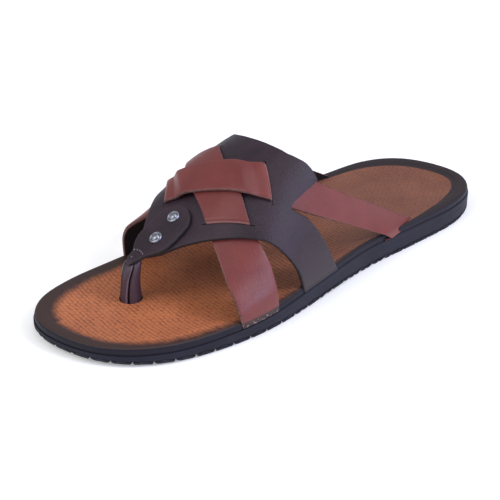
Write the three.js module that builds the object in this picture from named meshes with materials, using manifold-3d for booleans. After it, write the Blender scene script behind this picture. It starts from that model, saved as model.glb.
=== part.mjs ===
// A man's left thong sandal: a rubber outsole with edge lugs, a dished footbed, a saddle vamp with four
// slits, two straps woven through the slits in an X, and a riveted leaf tab over a leather toe post.
// Millimetres, +Z up, toe towards -Y, outer side of the foot towards +X. It stands on z = 0.
import * as THREE from 'three';
import { mergeVertices } from 'three/addons/utils/BufferGeometryUtils.js';
import Module from 'manifold-3d';

const wasm = await Module();
wasm.setup();

// Driving sizes
const LENGTH = 285;
const FOOTBED_THICK = 3.4;
const FOOTBED_DISH = 2.0;
const GAP = 0.3;
const LAYER_GAP = 0.4;
const VAMP_THICK = 2.0;
const STRAP_THICK = 1.8;
const TAB_THICK = 1.8;
const POST_RADIUS = 5.1;
const TREAD_DEPTH = 1.3;
const LUG_PITCH = 10.5;

// Plan of the sole: distance of each edge from the long axis, by share of the length from the toe
const SOLE_PLAN = [
  { along: 0.00, outer: -8.5, inner: -8.5 },
  { along: 0.04, outer: 26.9, inner: -32.0 },
  { along: 0.12, outer: 45.2, inner: -40.6 },
  { along: 0.22, outer: 52.8, inner: -42.6 },
  { along: 0.34, outer: 54.2, inner: -42.4 },
  { along: 0.48, outer: 48.2, inner: -42.0 },
  { along: 0.62, outer: 41.0, inner: -41.4 },
  { along: 0.76, outer: 38.8, inner: -40.7 },
  { along: 0.88, outer: 36.0, inner: -39.2 },
  { along: 0.96, outer: 27.0, inner: -26.9 },
  { along: 1.00, outer: 4.2, inner: 4.2 },
];

// Heights of the footbed's rim and of the lug tips, by share of the length: toe spring, arch and heel lift
const SOLE_SIDE = [
  { along: 0.00, rim: 9.8, tread: 2.6 },
  { along: 0.12, rim: 9.8, tread: 0.9 },
  { along: 0.30, rim: 10.9, tread: 0.0 },
  { along: 0.42, rim: 13.2, tread: 0.0 },
  { along: 0.52, rim: 14.8, tread: 0.8 },
  { along: 0.62, rim: 15.5, tread: 0.0 },
  { along: 0.90, rim: 14.9, tread: 0.0 },
  { along: 1.00, rim: 14.2, tread: 2.0 },
];

// The foot's instep: height and sideways place of the crown, and how square each side's shoulder is
const INSTEP = [
  { y: -94, height: 27.0, centre: -3.2, outerPower: 1.11 },
  { y: -80, height: 33.6, centre: -0.5, outerPower: 1.11 },
  { y: -60, height: 45.3, centre: 3.6, outerPower: 1.11 },
  { y: -30, height: 64.9, centre: 9.6, outerPower: 1.11 },
  { y: 0, height: 76.9, centre: 15.0, outerPower: 1.28 },
  { y: 30, height: 82.0, centre: 20.5, outerPower: 1.45 },
];
const INNER_POWER = 0.36;
const SECTION_STEPS = 40;

// A value of a table's column at a place, by a monotone cubic through its rows
function readTable(rows, key, column, at) {
  const last = rows.length - 1;
  if (at <= rows[0][key]) return rows[0][column];
  if (at >= rows[last][key]) return rows[last][column];
  let i = 0;
  while (at > rows[i + 1][key]) i += 1;
  const slope = (k) => (rows[k + 1][column] - rows[k][column]) / (rows[k + 1][key] - rows[k][key]);
  const tangent = (k) => {
    if (k === 0) return slope(0);
    if (k === last) return slope(last - 1);
    const before = slope(k - 1);
    const after = slope(k);
    return before * after <= 0 ? 0 : (2 * before * after) / (before + after);
  };
  const span = rows[i + 1][key] - rows[i][key];
  const t = (at - rows[i][key]) / span;
  const rise = rows[i + 1][column] - rows[i][column];
  const start = tangent(i) * span;
  const end = tangent(i + 1) * span;
  return rows[i][column] + t * (start + t * (3 * rise - 2 * start - end + t * (start + end - 2 * rise)));
}

// The outline runs once round by an angle: 0 at the toe, +PI/2 on the outer side, +-PI at the heel
const angleOf = (along) => Math.acos(1 - 2 * Math.min(1, Math.max(0, along)));
const ROUND = [
  ...SOLE_PLAN.slice(1).reverse().map((row) => ({ angle: -angleOf(row.along), x: row.inner })),
  ...SOLE_PLAN.map((row) => ({ angle: angleOf(row.along), x: row.outer })),
];

function outlineX(angle) {
  const count = ROUND.length;
  let i = 0;
  while (i < count - 2 && angle > ROUND[i + 1].angle) i += 1;
  const at = (k) => {
    if (k < 0) return { angle: ROUND[count - 2].angle - 2 * Math.PI, x: ROUND[count - 2].x };
    if (k >= count) return { angle: ROUND[1].angle + 2 * Math.PI, x: ROUND[1].x };
    return ROUND[k];
  };
  const tangent = (k) => (at(k + 1).x - at(k - 1).x) / (at(k + 1).angle - at(k - 1).angle);
  const span = at(i + 1).angle - at(i).angle;
  const t = (angle - at(i).angle) / span;
  const rise = at(i + 1).x - at(i).x;
  const start = tangent(i) * span;
  const end = tangent(i + 1) * span;
  return at(i).x + t * (start + t * (3 * rise - 2 * start - end + t * (start + end - 2 * rise)));
}

const shareAt = (y) => y / LENGTH + 0.5;
const outerEdge = (y) => outlineX(angleOf(shareAt(y)));
const innerEdge = (y) => outlineX(-angleOf(shareAt(y)));
const rimHeight = (y) => readTable(SOLE_SIDE, 'along', 'rim', shareAt(y));
const treadHeight = (y) => readTable(SOLE_SIDE, 'along', 'tread', shareAt(y));
const shelfHeight = (y) => rimHeight(y) - FOOTBED_THICK;
const instep = (column, y) => readTable(INSTEP, 'y', column, y);

// One half of the instep's cross-section, from the crown down to the shelf that the footbed lies on
function halfSection(y, side) {
  const centre = instep('centre', y);
  const rim = rimHeight(y);
  const rise = instep('height', y) - rim;
  const reach = (side > 0 ? outerEdge(y) : innerEdge(y)) - centre;
  const power = side > 0 ? instep('outerPower', y) : INNER_POWER;
  const points = [];
  for (let i = 0; i <= SECTION_STEPS; i += 1) {
    const angle = (Math.PI / 2) * (1 - (1 - i / SECTION_STEPS) ** 2);
    const height = rise * Math.max(0, Math.cos(angle)) ** power;
    points.push(new THREE.Vector2(centre + reach * Math.sin(angle), rim + height));
  }
  points.push(new THREE.Vector2(centre + reach, shelfHeight(y) + GAP));
  return points;
}

// A point on the instep: around is -1 at the inner foot, 0 on the crown and +1 at the outer foot
function onInstep(around, y) {
  const points = halfSection(y, around);
  const lengths = [0];
  for (let i = 1; i < points.length; i += 1) {
    lengths.push(lengths[i - 1] + points[i].distanceTo(points[i - 1]));
  }
  const target = Math.min(1, Math.abs(around)) * lengths[lengths.length - 1];
  let i = 0;
  while (i < points.length - 2 && lengths[i + 1] < target) i += 1;
  const share = (target - lengths[i]) / (lengths[i + 1] - lengths[i]);
  const flat = points[i].clone().lerp(points[i + 1], share);
  return new THREE.Vector3(flat.x, y, flat.y);
}

function instepNormal(around, y) {
  const step = 0.03;
  const low = Math.max(-1, around - step);
  const high = Math.min(1, around + step);
  const across = onInstep(high, y).sub(onInstep(low, y));
  const forward = onInstep(around, y + 2).sub(onInstep(around, y - 2));
  return across.cross(forward).normalize();
}

// The same point lifted off the instep's outer surface by a level, negative towards the foot
function lifted(around, y, level) {
  return onInstep(around, y).addScaledVector(instepNormal(around, y), level);
}

// A piece that serves as a cutter runs on down past its feet, through the footbed
const CUTTER_DEPTH = 1.5;

function withCutterFeet(grid, margin) {
  if (margin === 0) return grid;
  const lowered = (row) => row.map((point) => new THREE.Vector3(point.x, point.y, point.z - CUTTER_DEPTH));
  return [lowered(grid[0]), ...grid, lowered(grid[grid.length - 1])];
}

// Solids
function toSolid(positions, indices) {
  const geometry = new THREE.BufferGeometry();
  geometry.setAttribute('position', new THREE.Float32BufferAttribute(positions, 3));
  geometry.setIndex(indices);
  return solidOf(geometry);
}

function solidOf(source) {
  const geometry = source.clone();
  geometry.deleteAttribute('normal');
  geometry.deleteAttribute('uv');
  const merged = mergeVertices(geometry, 1e-4);
  const vertProperties = new Float32Array(merged.attributes.position.array);
  const triVerts = new Uint32Array(merged.index.array);
  const solid = new wasm.Manifold(new wasm.Mesh({ numProp: 3, vertProperties, triVerts }));
  if (solid.volume() >= 0) return solid;
  for (let i = 0; i < triVerts.length; i += 3) {
    const swap = triVerts[i + 1];
    triVerts[i + 1] = triVerts[i + 2];
    triVerts[i + 2] = swap;
  }
  return new wasm.Manifold(new wasm.Mesh({ numProp: 3, vertProperties, triVerts }));
}

// A closed sheet between two grids of points: lower[row][column] and upper[row][column]
function sheet(lower, upper) {
  const rows = lower.length;
  const columns = lower[0].length;
  const positions = [];
  for (const layer of [lower, upper]) {
    for (const row of layer) {
      for (const point of row) positions.push(point.x, point.y, point.z);
    }
  }
  const at = (layer, row, column) => layer * rows * columns + row * columns + column;
  const indices = [];
  const quad = (a, b, c, d) => indices.push(a, b, c, a, c, d);
  for (let r = 0; r < rows - 1; r += 1) {
    for (let c = 0; c < columns - 1; c += 1) {
      quad(at(0, r, c), at(0, r + 1, c), at(0, r + 1, c + 1), at(0, r, c + 1));
      quad(at(1, r, c), at(1, r, c + 1), at(1, r + 1, c + 1), at(1, r + 1, c));
    }
    quad(at(0, r, 0), at(1, r, 0), at(1, r + 1, 0), at(0, r + 1, 0));
    quad(at(0, r, columns - 1), at(0, r + 1, columns - 1), at(1, r + 1, columns - 1), at(1, r, columns - 1));
  }
  for (let c = 0; c < columns - 1; c += 1) {
    quad(at(0, 0, c), at(0, 0, c + 1), at(1, 0, c + 1), at(1, 0, c));
    quad(at(0, rows - 1, c), at(1, rows - 1, c), at(1, rows - 1, c + 1), at(0, rows - 1, c + 1));
  }
  return toSolid(positions, indices);
}

// A closed body from rings that follow the outline, the first and last ring closed straight across
const OUTLINE_STEPS = 48;

function outlineRing(inset, heightAt) {
  const ring = [];
  for (let i = 0; i < 2 * OUTLINE_STEPS; i += 1) {
    const angle = (Math.PI * (i - OUTLINE_STEPS)) / OUTLINE_STEPS;
    const edge = outlineX(angle);
    const middle = (outlineX(Math.abs(angle)) + outlineX(-Math.abs(angle))) / 2;
    const x = middle + (edge - middle) * (1 - inset / 48);
    const y = -(LENGTH / 2 - inset) * Math.cos(angle);
    ring.push(new THREE.Vector3(x, y, heightAt(-(LENGTH / 2) * Math.cos(angle))));
  }
  return ring;
}

function stackedRings(rings) {
  const count = 2 * OUTLINE_STEPS;
  const positions = rings.flat().flatMap((point) => [point.x, point.y, point.z]);
  const indices = [];
  for (let r = 0; r < rings.length - 1; r += 1) {
    for (let i = 0; i < count; i += 1) {
      const a = r * count + i;
      const b = r * count + ((i + 1) % count);
      indices.push(a, b, b + count, a, b + count, a + count);
    }
  }
  const closeAcross = (base, flip) => {
    for (let i = 0; i < OUTLINE_STEPS; i += 1) {
      const a = base + i;
      const b = base + i + 1;
      const c = base + ((count - i) % count);
      const d = base + count - i - 1;
      const push = (p, q, s) => {
        if (p === q || q === s || s === p) return;
        if (flip) indices.push(p, s, q);
        else indices.push(p, q, s);
      };
      push(a, c, b);
      push(b, c, d);
    }
  };
  closeAcross(0, false);
  closeAcross((rings.length - 1) * count, true);
  return toSolid(positions, indices);
}

// Outsole: a wall with a rounded top edge, and a base above its lugs
const WALL_RINGS = [
  { inset: 0.9, from: 'shelf', offset: -GAP },
  { inset: 0.2, from: 'shelf', offset: -0.9 },
  { inset: 0.0, from: 'shelf', offset: -1.5 },
  { inset: 1.2, from: 'tread', offset: TREAD_DEPTH },
];

function makeOutsole() {
  const ringHeight = (row) => (y) => (row.from === 'shelf' ? shelfHeight(y) : treadHeight(y)) + row.offset;
  let solid = stackedRings(WALL_RINGS.map((row) => outlineRing(row.inset, ringHeight(row))));
  for (const lug of [...edgeLugs(), ...treadBars()]) solid = solid.add(lug);
  return solid;
}

// A lug from four plan corners, its foot on the tread and its root inside the base
function lugSolid(corners, rootOffset) {
  const positions = [];
  for (const corner of corners) positions.push(corner.x, corner.y, treadHeight(corner.y));
  corners.forEach((corner, i) => {
    const root = treadHeight(corner.y) + TREAD_DEPTH + rootOffset[i];
    positions.push(corner.x, corner.y, Math.min(root, shelfHeight(corner.y) - WALL_TOP));
  });
  const indices = [0, 2, 1, 0, 3, 2, 4, 5, 6, 4, 6, 7];
  for (let i = 0; i < 4; i += 1) {
    const j = (i + 1) % 4;
    indices.push(i, j, j + 4, i, j + 4, i + 4);
  }
  return toSolid(positions, indices);
}

// Lugs round the edge: each stands a little proud of the wall and climbs it as a short rib
const LUG_PROUD = 0.3;
const LUG_REACH = 13;
const LUG_CLIMB = 1.0;
const WALL_TOP = 1.0;

function edgeLugs() {
  const path = outlineRing(-LUG_PROUD, () => 0);
  const inner = outlineRing(LUG_REACH, () => 0);
  path.push(path[0]);
  inner.push(inner[0]);
  const lengths = [0];
  for (let i = 1; i < path.length; i += 1) lengths.push(lengths[i - 1] + path[i].distanceTo(path[i - 1]));
  const total = lengths[lengths.length - 1];
  const count = Math.round(total / LUG_PITCH);
  const pick = (line, distance) => {
    const target = (distance + total) % total;
    let i = 0;
    while (lengths[i + 1] < target) i += 1;
    return line[i].clone().lerp(line[i + 1], (target - lengths[i]) / (lengths[i + 1] - lengths[i]));
  };
  const lugs = [];
  for (let i = 0; i < count; i += 1) {
    const centre = ((i + 0.5) * total) / count;
    const half = 0.5 * LUG_PITCH * (0.8 + 0.08 * Math.sin(i * 2.4));
    const corners = [
      pick(path, centre - half),
      pick(path, centre + half),
      pick(inner, centre + half * 0.8),
      pick(inner, centre - half * 0.8),
    ];
    lugs.push(lugSolid(corners, [LUG_CLIMB, LUG_CLIMB, 0.4, 0.4]));
  }
  return lugs;
}

// Straight bars across the middle of the tread, closer under the ball and the heel
const BAR_ROWS = [
  { from: -112, to: -22, pitch: 15, width: 8 },
  { from: -4, to: 26, pitch: 30, width: 7 },
  { from: 44, to: 116, pitch: 12, width: 7.5 },
];
const BAR_INSET = 17;

function treadBars() {
  const bars = [];
  for (const row of BAR_ROWS) {
    for (let y = row.from; y <= row.to; y += row.pitch) {
      const low = y - row.width / 2;
      const high = y + row.width / 2;
      const left = innerEdge(y) + BAR_INSET;
      const right = outerEdge(y) - BAR_INSET;
      const corners = [[left, low], [right, low], [right, high], [left, high]];
      bars.push(lugSolid(corners.map(([x, v]) => new THREE.Vector2(x, v)), [0.4, 0.4, 0.4, 0.4]));
    }
  }
  return bars;
}

// Footbed: a rounded rim, a flat border, then a dish
const FOOTBED_RINGS = [
  { inset: 0.7, drop: FOOTBED_THICK },
  { inset: 0.7, drop: 1.0 },
  { inset: 1.8, drop: 0 },
  { inset: 7, drop: 0.2 },
  { inset: 14, drop: 1.5 },
  { inset: 22, drop: FOOTBED_DISH },
];

function makeFootbed() {
  return stackedRings(FOOTBED_RINGS.map((row) => outlineRing(row.inset, (y) => rimHeight(y) - row.drop)));
}

// Vamp: its front and rear edges, by place around the instep
const VAMP_EDGES = [
  { around: -1.00, front: -24, rear: 5 },
  { around: -0.84, front: -27, rear: -1.5 },
  { around: -0.69, front: -36.5, rear: -8 },
  { around: -0.615, front: -44.5, rear: -11.5 },
  { around: -0.56, front: -50, rear: 4.5 },
  { around: -0.445, front: -61.5, rear: -2 },
  { around: -0.33, front: -71, rear: -6 },
  { around: -0.2, front: -79, rear: -7.5 },
  { around: -0.1, front: -82.6, rear: -7.8 },
  { around: -0.02, front: -83.8, rear: -8 },
  { around: 0.06, front: -80, rear: -7.6 },
  { around: 0.135, front: -71.5, rear: -5 },
  { around: 0.21, front: -64.8, rear: -1.5 },
  { around: 0.33, front: -55, rear: 0.8 },
  { around: 0.405, front: -48.8, rear: -20 },
  { around: 0.53, front: -39, rear: -12.5 },
  { around: 0.67, front: -32, rear: -6 },
  { around: 0.835, front: -25.5, rear: 0 },
  { around: 1.00, front: -22, rear: 6 },
];
const VAMP_ROWS = 8;
const VAMP_COLUMN_STEP = 0.046;

function makeVamp(margin = 0) {
  const columns = [];
  for (let i = 0; i < VAMP_EDGES.length - 1; i += 1) {
    const start = VAMP_EDGES[i].around;
    const span = VAMP_EDGES[i + 1].around - start;
    const parts = Math.ceil(span / VAMP_COLUMN_STEP);
    for (let k = 0; k < parts; k += 1) columns.push(start + (span * k) / parts);
  }
  columns.push(1);
  const layer = (level) => withCutterFeet(columns.map((around) => {
    const front = readTable(VAMP_EDGES, 'around', 'front', around);
    const rear = readTable(VAMP_EDGES, 'around', 'rear', around);
    const row = [];
    for (let r = 0; r <= VAMP_ROWS; r += 1) {
      const y = THREE.MathUtils.lerp(front - margin, rear + margin, r / VAMP_ROWS);
      row.push(lifted(around, y, level));
    }
    return row;
  }), margin);
  return sheet(layer(-VAMP_THICK - margin), layer(margin));
}

// Straps: both edges' places on the instep, row by row from the front foot to the rear foot. Level is the
// lower face's height over the vamp's outer face: at the sole's edge, under the vamp, in a slit, over it.
// A rear foot stands just outside the footbed at its front edge, and is tucked in at its rear edge.
const FOOT = -VAMP_THICK;
const REAR_FOOT = { level: -0.4, tuck: 5.6 };
const UNDER = -VAMP_THICK - LAYER_GAP - STRAP_THICK;
const SLIT = -2.2;
const OVER = LAYER_GAP;
const OVER_BOTH = OVER + STRAP_THICK + LAYER_GAP;

const STRAP_UNDER_ROWS = [
  { frontAround: 1.00, frontY: -65.7, rearAround: 1.00, rearY: -41.7, level: FOOT },
  { frontAround: 0.85, frontY: -67.0, rearAround: 0.87, rearY: -42.0, level: FOOT },
  { frontAround: 0.60, frontY: -66.0, rearAround: 0.695, rearY: -41.5, level: -3.4 },
  { frontAround: 0.33, frontY: -61.5, rearAround: 0.52, rearY: -42.5, level: UNDER },
  { frontAround: 0.20, frontY: -58.5, rearAround: 0.42, rearY: -43.5, level: UNDER },
  { frontAround: 0.135, frontY: -56.5, rearAround: 0.36, rearY: -43.0, level: SLIT },
  { frontAround: 0.06, frontY: -54.0, rearAround: 0.29, rearY: -41.5, level: OVER },
  { frontAround: -0.145, frontY: -48.0, rearAround: 0.15, rearY: -37.5, level: OVER },
  { frontAround: -0.27, frontY: -43.5, rearAround: 0.00, rearY: -32.5, level: OVER },
  { frontAround: -0.385, frontY: -38.5, rearAround: -0.15, rearY: -28.5, level: OVER },
  { frontAround: -0.49, frontY: -30.5, rearAround: -0.285, rearY: -22.0, level: OVER },
  { frontAround: -0.545, frontY: -24.5, rearAround: -0.355, rearY: -17.5, level: SLIT },
  { frontAround: -0.58, frontY: -19.5, rearAround: -0.42, rearY: -13.0, level: UNDER },
  { frontAround: -0.61, frontY: -11.5, rearAround: -0.55, rearY: 2.5, level: UNDER },
  { frontAround: -0.95, frontY: 46.5, rearAround: -0.965, rearY: 74.3, ...REAR_FOOT, straight: true },
  { frontAround: -1.00, frontY: 47.0, rearAround: -1.00, rearY: 74.8, ...REAR_FOOT },
];

const STRAP_OVER_ROWS = [
  { frontAround: -1.00, frontY: -70.0, rearAround: -1.00, rearY: -46.0, level: FOOT },
  { frontAround: -0.85, frontY: -70.5, rearAround: -0.87, rearY: -46.0, level: FOOT },
  { frontAround: -0.70, frontY: -70.5, rearAround: -0.76, rearY: -46.0, level: -3.4 },
  { frontAround: -0.54, frontY: -66.5, rearAround: -0.66, rearY: -46.5, level: UNDER },
  { frontAround: -0.42, frontY: -60.5, rearAround: -0.575, rearY: -45.5, level: UNDER },
  { frontAround: -0.34, frontY: -57.0, rearAround: -0.515, rearY: -44.0, level: SLIT },
  { frontAround: -0.27, frontY: -54.0, rearAround: -0.455, rearY: -42.0, level: OVER },
  { frontAround: -0.17, frontY: -49.5, rearAround: -0.40, rearY: -39.5, level: OVER_BOTH },
  { frontAround: -0.01, frontY: -43.5, rearAround: -0.27, rearY: -34.0, level: OVER_BOTH },
  { frontAround: 0.17, frontY: -36.5, rearAround: -0.11, rearY: -27.0, level: OVER_BOTH },
  { frontAround: 0.25, frontY: -31.8, rearAround: -0.005, rearY: -22.5, level: OVER },
  { frontAround: 0.31, frontY: -28.0, rearAround: 0.06, rearY: -19.0, level: SLIT },
  { frontAround: 0.355, frontY: -24.5, rearAround: 0.13, rearY: -14.5, level: UNDER },
  { frontAround: 0.40, frontY: -20.5, rearAround: 0.32, rearY: -1.0, level: UNDER },
  { frontAround: 0.95, frontY: 46.5, rearAround: 0.965, rearY: 74.3, ...REAR_FOOT, straight: true },
  { frontAround: 1.00, frontY: 47.0, rearAround: 1.00, rearY: 74.8, ...REAR_FOOT },
];
const STRAP_COLUMNS = 5;
const STRAP_STEPS = 2;
const STRAIGHT_STEPS = 8;
const STRAP_BOW = 0.25;

// A row of points across a strap, grown by a margin on every side when it serves as a cutter
function strapRow(row, rise, margin) {
  const front = onInstep(row.frontAround, row.frontY);
  const rear = onInstep(row.rearAround, row.rearY);
  const spare = margin / front.distanceTo(rear);
  const tuck = row.tuck ?? 0;
  const points = [];
  for (let c = 0; c < STRAP_COLUMNS; c += 1) {
    const share = -spare + ((1 + 2 * spare) * c) / (STRAP_COLUMNS - 1);
    const around = THREE.MathUtils.lerp(row.frontAround, row.rearAround, share);
    const y = THREE.MathUtils.lerp(row.frontY, row.rearY, share);
    points.push(lifted(around, y, row.level - tuck * share + rise));
  }
  return points;
}

function blendRows(rows, i, t) {
  const row = {};
  for (const column of ['frontAround', 'frontY', 'rearAround', 'rearY']) {
    const before = rows[Math.max(0, i - 1)][column];
    const start = rows[i][column];
    const end = rows[i + 1][column];
    const after = rows[rows[i + 1].straight || !rows[i + 2] || rows[i + 2].straight ? i + 1 : i + 2][column];
    const leave = (end - before) / 2;
    const arrive = (after - start) / 2;
    const rise = end - start;
    row[column] = start + t * (leave + t * (3 * rise - 2 * leave - arrive + t * (leave + arrive - 2 * rise)));
  }
  const ease = t * t * (3 - 2 * t);
  row.level = THREE.MathUtils.lerp(rows[i].level, rows[i + 1].level, ease);
  row.tuck = THREE.MathUtils.lerp(rows[i].tuck ?? 0, rows[i + 1].tuck ?? 0, t);
  return row;
}

function strapLayer(rows, rise, margin) {
  const grid = [];
  for (let i = 0; i < rows.length - 1; i += 1) {
    if (rows[i + 1].straight) {
      const start = strapRow(rows[i], rise, margin);
      const end = strapRow(rows[i + 1], rise, margin);
      const previous = grid[grid.length - 1];
      for (let k = 0; k < STRAIGHT_STEPS; k += 1) {
        const t = k / STRAIGHT_STEPS;
        grid.push(start.map((point, c) => {
          const chord = end[c].clone().sub(point);
          const leaving = point.clone().sub(previous[c]).normalize();
          const bend = leaving.multiplyScalar(chord.length()).sub(chord).multiplyScalar(STRAP_BOW);
          return point.clone().addScaledVector(chord, t).addScaledVector(bend, t * (1 - t) * (1 - t));
        }));
      }
    } else {
      const steps = i === 0 || i >= rows.length - 2 ? 1 : STRAP_STEPS;
      for (let k = 0; k < steps; k += 1) grid.push(strapRow(blendRows(rows, i, k / steps), rise, margin));
    }
  }
  grid.push(strapRow(rows[rows.length - 1], rise, margin));
  return withCutterFeet(grid, margin);
}

function makeStrap(rows, margin = 0) {
  return sheet(strapLayer(rows, -margin, margin), strapLayer(rows, STRAP_THICK + margin, margin));
}

// Leaf tab over the vamp's nose, from its narrow tail on the toe post to its broad rounded end: half its
// width along its own length
const TAB_START = -90;
const TAB_END = -55.4;
const TAB_CENTRE = [-5.0, -3.9];
const TAB_SHAPE = [
  { share: 0.00, half: 3.0 },
  { share: 0.04, half: 3.7 },
  { share: 0.13, half: 4.6 },
  { share: 0.205, half: 6.9 },
  { share: 0.30, half: 9.6 },
  { share: 0.43, half: 11.3 },
  { share: 0.62, half: 11.6 },
  { share: 0.75, half: 11.4 },
  { share: 0.83, half: 10.5 },
  { share: 0.92, half: 7.9 },
  { share: 0.965, half: 5.2 },
  { share: 1.00, half: 2.2 },
];
const TAB_STEPS = 20;
const TAB_COLUMNS = 7;

// The place around the instep of a point that lies x from the long axis, near the crown
function aroundAt(x, y) {
  let low = -0.6;
  let high = 0.6;
  for (let i = 0; i < 24; i += 1) {
    const middle = (low + high) / 2;
    if (onInstep(middle, y).x < x) low = middle;
    else high = middle;
  }
  return (low + high) / 2;
}

function makeTab() {
  const layer = (level) => {
    const rows = [];
    for (let i = 0; i <= TAB_STEPS; i += 1) {
      const share = i / TAB_STEPS;
      const y = THREE.MathUtils.lerp(TAB_START, TAB_END, share);
      const half = readTable(TAB_SHAPE, 'share', 'half', share);
      const centre = THREE.MathUtils.lerp(TAB_CENTRE[0], TAB_CENTRE[1], share);
      const row = [];
      for (let c = 0; c < TAB_COLUMNS; c += 1) {
        const x = centre + half * ((2 * c) / (TAB_COLUMNS - 1) - 1);
        row.push(lifted(aroundAt(x, y), y, level));
      }
      rows.push(row);
    }
    return rows;
  };
  return sheet(layer(LAYER_GAP), layer(LAYER_GAP + TAB_THICK));
}

// Toe post: a leather tube from the outsole up to the tab's tail, leaning back a little to a rounded top
const POST = [
  { share: 0.00, y: -91.1, radius: 5.7 },
  { share: 0.16, y: -91.1, radius: 5.6 },
  { share: 0.34, y: -91.0, radius: 5.3 },
  { share: 0.60, y: -90.6, radius: POST_RADIUS },
  { share: 0.86, y: -89.8, radius: POST_RADIUS },
  { share: 0.96, y: -89.3, radius: 4.6 },
  { share: 1.00, y: -89.0, radius: 3.7 },
];
const POST_X = -5.8;
const POST_SIDES = 18;

function makePost(margin = 0) {
  const positions = [];
  for (const row of POST) {
    for (let i = 0; i < POST_SIDES; i += 1) {
      const turn = (2 * Math.PI * i) / POST_SIDES;
      const x = POST_X + (row.radius + margin) * Math.cos(turn);
      const y = row.y + (row.radius + margin) * Math.sin(turn);
      const foot = shelfHeight(y) + GAP - (margin > 0 ? CUTTER_DEPTH : 0);
      const head = lifted(aroundAt(x, y), y, 0).z;
      positions.push(x, y, THREE.MathUtils.lerp(foot, head, row.share));
    }
  }
  const indices = [];
  const rows = POST.length;
  for (let r = 0; r < rows - 1; r += 1) {
    for (let i = 0; i < POST_SIDES; i += 1) {
      const a = r * POST_SIDES + i;
      const b = r * POST_SIDES + ((i + 1) % POST_SIDES);
      indices.push(a, b, b + POST_SIDES, a, b + POST_SIDES, a + POST_SIDES);
    }
  }
  for (let i = 1; i < POST_SIDES - 1; i += 1) {
    indices.push(0, i + 1, i);
    const top = (rows - 1) * POST_SIDES;
    indices.push(top, top + i, top + i + 1);
  }
  return toSolid(positions, indices);
}

// Rivets: a domed head on the tab, a shank through tab and vamp, and a clinched washer inside
const RIVETS = [
  { name: 'rivet_front', x: -3.4, y: -74.5 },
  { name: 'rivet_rear', x: -4.6, y: -62.0 },
];
const RIVET_SIDES = 16;
const RIVET_HEAD = 3.4;
const RIVET_SHANK = 1.3;

function makeRivet(row, margin = 0) {
  const seat = LAYER_GAP + TAB_THICK + GAP;
  const inside = -VAMP_THICK - GAP;
  const head = margin ? RIVET_SHANK + margin : RIVET_HEAD;
  const profile = [
    [0, inside - 0.9],
    [margin ? RIVET_SHANK + margin : 2.6, inside - 0.9],
    [margin ? RIVET_SHANK + margin : 2.9, inside],
    [RIVET_SHANK + margin, inside],
    [RIVET_SHANK + margin, seat],
    [head, seat],
    [head, seat + 0.5],
    [head * 0.72, seat + 1.25],
    [head * 0.34, seat + 1.6],
    [0, seat + 1.7],
  ];
  const points = profile.map(([radius, height]) => new THREE.Vector2(radius, height));
  if (margin) points.splice(2, 1);
  const geometry = new THREE.LatheGeometry(points, RIVET_SIDES);
  geometry.rotateX(Math.PI / 2);
  const around = aroundAt(row.x, row.y);
  const normal = instepNormal(around, row.y);
  const turn = new THREE.Quaternion().setFromUnitVectors(new THREE.Vector3(0, 0, 1), normal);
  geometry.applyQuaternion(turn);
  const base = onInstep(around, row.y);
  geometry.translate(base.x, base.y, base.z);
  return solidOf(geometry);
}

// Materials
const FINISHES = {
  rubber: { color: 0x24242e, roughness: 0.75, metalness: 0 },
  footbed: { color: 0xa06244, roughness: 0.6, metalness: 0 },
  darkLeather: { color: 0x463a42, roughness: 0.45, metalness: 0 },
  redLeather: { color: 0x824644, roughness: 0.42, metalness: 0 },
  nickel: { color: 0xa9a9b0, roughness: 0.3, metalness: 1 },
};

const shoe = new THREE.Group();

function addPiece(name, solid, finish) {
  const mesh = solid.getMesh();
  const geometry = new THREE.BufferGeometry();
  geometry.setAttribute('position', new THREE.BufferAttribute(new Float32Array(mesh.vertProperties), 3));
  geometry.setIndex(new THREE.BufferAttribute(new Uint32Array(mesh.triVerts), 1));
  geometry.computeVertexNormals();
  const piece = new THREE.Mesh(geometry, new THREE.MeshStandardMaterial(FINISHES[finish]));
  piece.name = name;
  shoe.add(piece);
}

// Assembly: each slit, notch and hole is cut by the piece that passes through it, grown by the gap
const strapUnderCut = makeStrap(STRAP_UNDER_ROWS, GAP);
const strapOverCut = makeStrap(STRAP_OVER_ROWS, GAP);
const rivetCuts = RIVETS.map((row) => makeRivet(row, GAP));

let vamp = makeVamp().subtract(strapUnderCut).subtract(strapOverCut);
let tab = makeTab();
for (const cut of rivetCuts) {
  vamp = vamp.subtract(cut);
  tab = tab.subtract(cut);
}
let footbed = makeFootbed().subtract(strapUnderCut).subtract(strapOverCut);
footbed = footbed.subtract(makeVamp(GAP)).subtract(makePost(GAP));

addPiece('outsole', makeOutsole(), 'rubber');
addPiece('footbed', footbed, 'footbed');
addPiece('vamp', vamp, 'darkLeather');
addPiece('strap_under', makeStrap(STRAP_UNDER_ROWS), 'redLeather');
addPiece('strap_over', makeStrap(STRAP_OVER_ROWS), 'redLeather');
addPiece('tab', tab, 'darkLeather');
addPiece('toe_post', makePost(), 'darkLeather');
RIVETS.forEach((row) => addPiece(row.name, makeRivet(row), 'nickel'));

// The origin is at the middle of the footprint, on the ground
const bounds = new THREE.Box3().setFromObject(shoe);
const middle = bounds.getCenter(new THREE.Vector3());
shoe.position.set(-middle.x, -middle.y, -bounds.min.z);

export default shoe;
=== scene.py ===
import functools
import math

import bpy
import numpy as np
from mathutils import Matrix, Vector
from mathutils.kdtree import KDTree


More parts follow.
